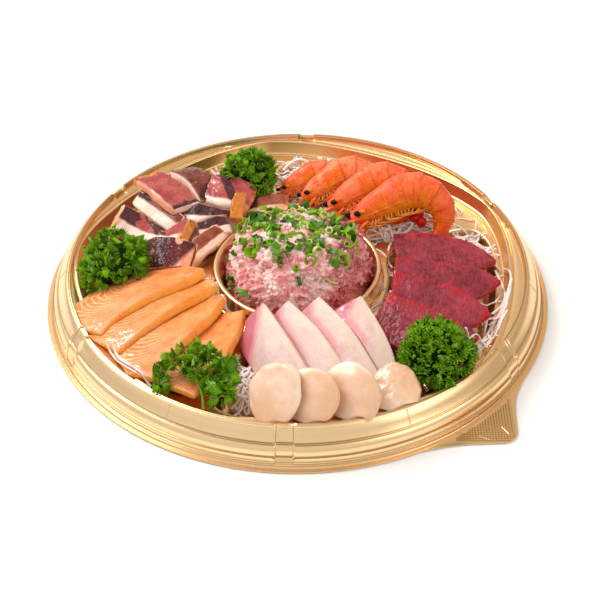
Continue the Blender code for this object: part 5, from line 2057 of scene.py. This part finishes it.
SLIPPED = (
    (((124, 6), (126, -8), (124, -24), (118, -40), (112, -52)), 0.9),
    (((119, 4), (122, -12), (121, -26), (113, -36)), 0.9),
    (((126, -14), (121, -30), (112, -47), (104, -62), (96, -72)), 1.6),
    (((121, -36), (113, -52), (104, -64), (97, -77)), 2.0),
    (((117, -40), (108, -49), (105, -63), (94, -74)), 2.6),
    (((112, -44), (110, -58), (101, -70), (92, -80)), 1.4),
    (((120, -44), (111, -60), (99, -73)), 2.6),
    (((107, -52), (112, -66)), 2.8),
    (((102, -56), (108, -70)), 3.0),
    (((114, -2), (120, -16), (116, -26)), 1.2),
    (((109, 20), (117, 14), (122, 4)), 0.9),
    (((105, 33), (98, 38), (90, 36)), 0.9),
    (((48, -8), (52, -14), (50, -24), (54, -32)), 0.8),
    (((50, -12), (55, -18), (52, -30)), 0.8),
    (((-102, -76), (-98, -84), (-90, -92)), 0.9),
    (((-106, -74), (-97, -88), (-88, -97)), 1.5),
    (((-99, -82), (-88, -94), (-80, -102)), 0.9),
    (((-57, 102), (-52, 107), (-47, 104), (-46, 97)), 1.0),
    (((-49, -27), (-44, -33), (-40, -37), (-34, -40)), 0.9),
    (((-47, -25), (-42, -30), (-37, -40)), 0.9),
)
slipped = [laid_path(points, lift) for points, lift in SLIPPED]
sizes = [(0.62 + 0.12 * (k % 3)) * MM for k in range(len(slipped))]
print("slipped strands:", len(slipped), add_strands("daikon_slipped", slipped, sizes, 9))

# %% [markdown]
# ### Small work on the tray
# The flange edge is milled with fine ridges, and the lift tab carries a square knurl and two
# raised bars. The ridges and the knurl repeat one small stud, so one tree sets a stud on every
# point and turns it by the point's own angle.

# %% The stud tree
def make_stud_tree():
    tree, given = grow_tree("studs", {"Long": 0.002, "Wide": 0.0005, "High": 0.0003})
    stud = grow_step(tree, "MeshCube", {"Size": vector_of(given["Long"], given["Wide"], given["High"])})
    placed = grow_step(tree, "InstanceOnPoints",
                       {"Points": given["Geometry"], "Instance": stud,
                        "Rotation": vector_of(0.0, 0.0, stored_number(tree, "angle"))})
    return finished_tree(given, placed)


STUDS = make_stud_tree()


def studded(points, angles, long, wide, high):
    """Studs of one size, in mm, on the given points. Each point has its own turn."""
    mesh = plain_mesh("stud_points", points)
    store(mesh, angle=angles)
    return grown(STUDS, mesh, {"Long": long * MM, "Wide": wide * MM, "High": high * MM, "Finish": GOLD})


print("stud tree:", len(STUDS.nodes), "nodes")

# %% Milled edge
RIDGES = 860
ridge_angles = [tau * i / RIDGES for i in range(RIDGES)]
ridge_r = FLANGE_R - 1.5 * MM
ridge_points = [(ridge_r * cos(a), ridge_r * sin(a), SHEET) for a in ridge_angles]
milling = studded(ridge_points, ridge_angles, 2.4, 0.55, 0.5)
add_gold("milled_edge", milling)
print("ridges:", RIDGES)

# %% Lift tab
# Flat dark gold plates under the knurl studs are painted shade: they stand in for the shadow at the bottom of
# the knurl's grooves.
KNURL_SHADE = plain_finish("groove_gold", (0.46, 0.26, 0.08), 0.5)
def tab_points(pitch):
    """A square grid over the tab, outside the round flange and inside the tab's own edge."""
    points = []
    steps = int(40 * MM / pitch)
    for i in range(steps):
        for j in range(steps):
            x, y = 0.086 + i * pitch, -0.0925 - j * pitch
            azimuth = atan2(y, x) % tau
            if x > TAB_RIGHT - 1.6 * MM or -y > TAB_FRONT - 1.6 * MM:
                continue
            if FLANGE_R + 1.0 * MM < hypot(x, y) < flange_r(azimuth) - 1.4 * MM:
                points.append((x, y, SHEET))
    return points


KNURL_PITCH = 1.55              # mm
SHADE_PLATE_SIDE = KNURL_PITCH * 0.98
knurl = tab_points(KNURL_PITCH * MM)
straight = [0.0] * len(knurl)
knurled = studded(knurl, straight, 1.05, 1.05, 1.0)
add_gold("tab_knurl", knurled)
# painted shade: dark plates a little smaller than the pitch, lying round the studs so they show in the gaps
# between them
grooves = studded(knurl, straight, SHADE_PLATE_SIDE, SHADE_PLATE_SIDE, 0.3)
add_piece("tab_grooves", grooves, KNURL_SHADE)
BARS = np.array((((97.6, -123.8, 1.0), (103.9, -126.8, 1.0)), ((110.8, -116.9, 1.0), (114.1, -122.2, 1.0))))
bars = drawn_tubes(BARS * MM, [0.6 * MM, 0.6 * MM], GOLD, sides=8)
add_gold("tab_bars", bars)
print("knurl studs:", len(knurl))

# %% [markdown]
# Four short pressed marks cross the crest between the channels.

# %% Pressed marks
def mark_path(azimuth):
    """A thin rib from the crest's outer corner down the broad slope."""
    outline = ((13.2, 22.7), (12.7, 21.6), (11.0, 19.2), (9.0, 16.4), (8.1, 15.1))
    return [((FLANGE_R - i * MM) * cos(azimuth), (FLANGE_R - i * MM) * sin(azimuth), z * MM)
            for i, z in outline]


marks = [mark_path(radians(a)) for a in (240, 295, 182, 352)]
mark_ribs = drawn_tubes(marks, [0.32 * MM] * len(marks), GOLD, sides=6)
add_gold("pressed_marks", mark_ribs)

# %% [markdown]
# ## Sizes at the end
# The size of the solids and the size of what is shown are put side by side.

# %% Sizes and the end
shown_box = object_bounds()
sizes = {"cad": [list(corner) for corner in cad_box], "shown": [list(corner) for corner in shown_box]}
print("shown size in mm:", [round(c / MM, 1) for c in shown_box[1] - shown_box[0]])
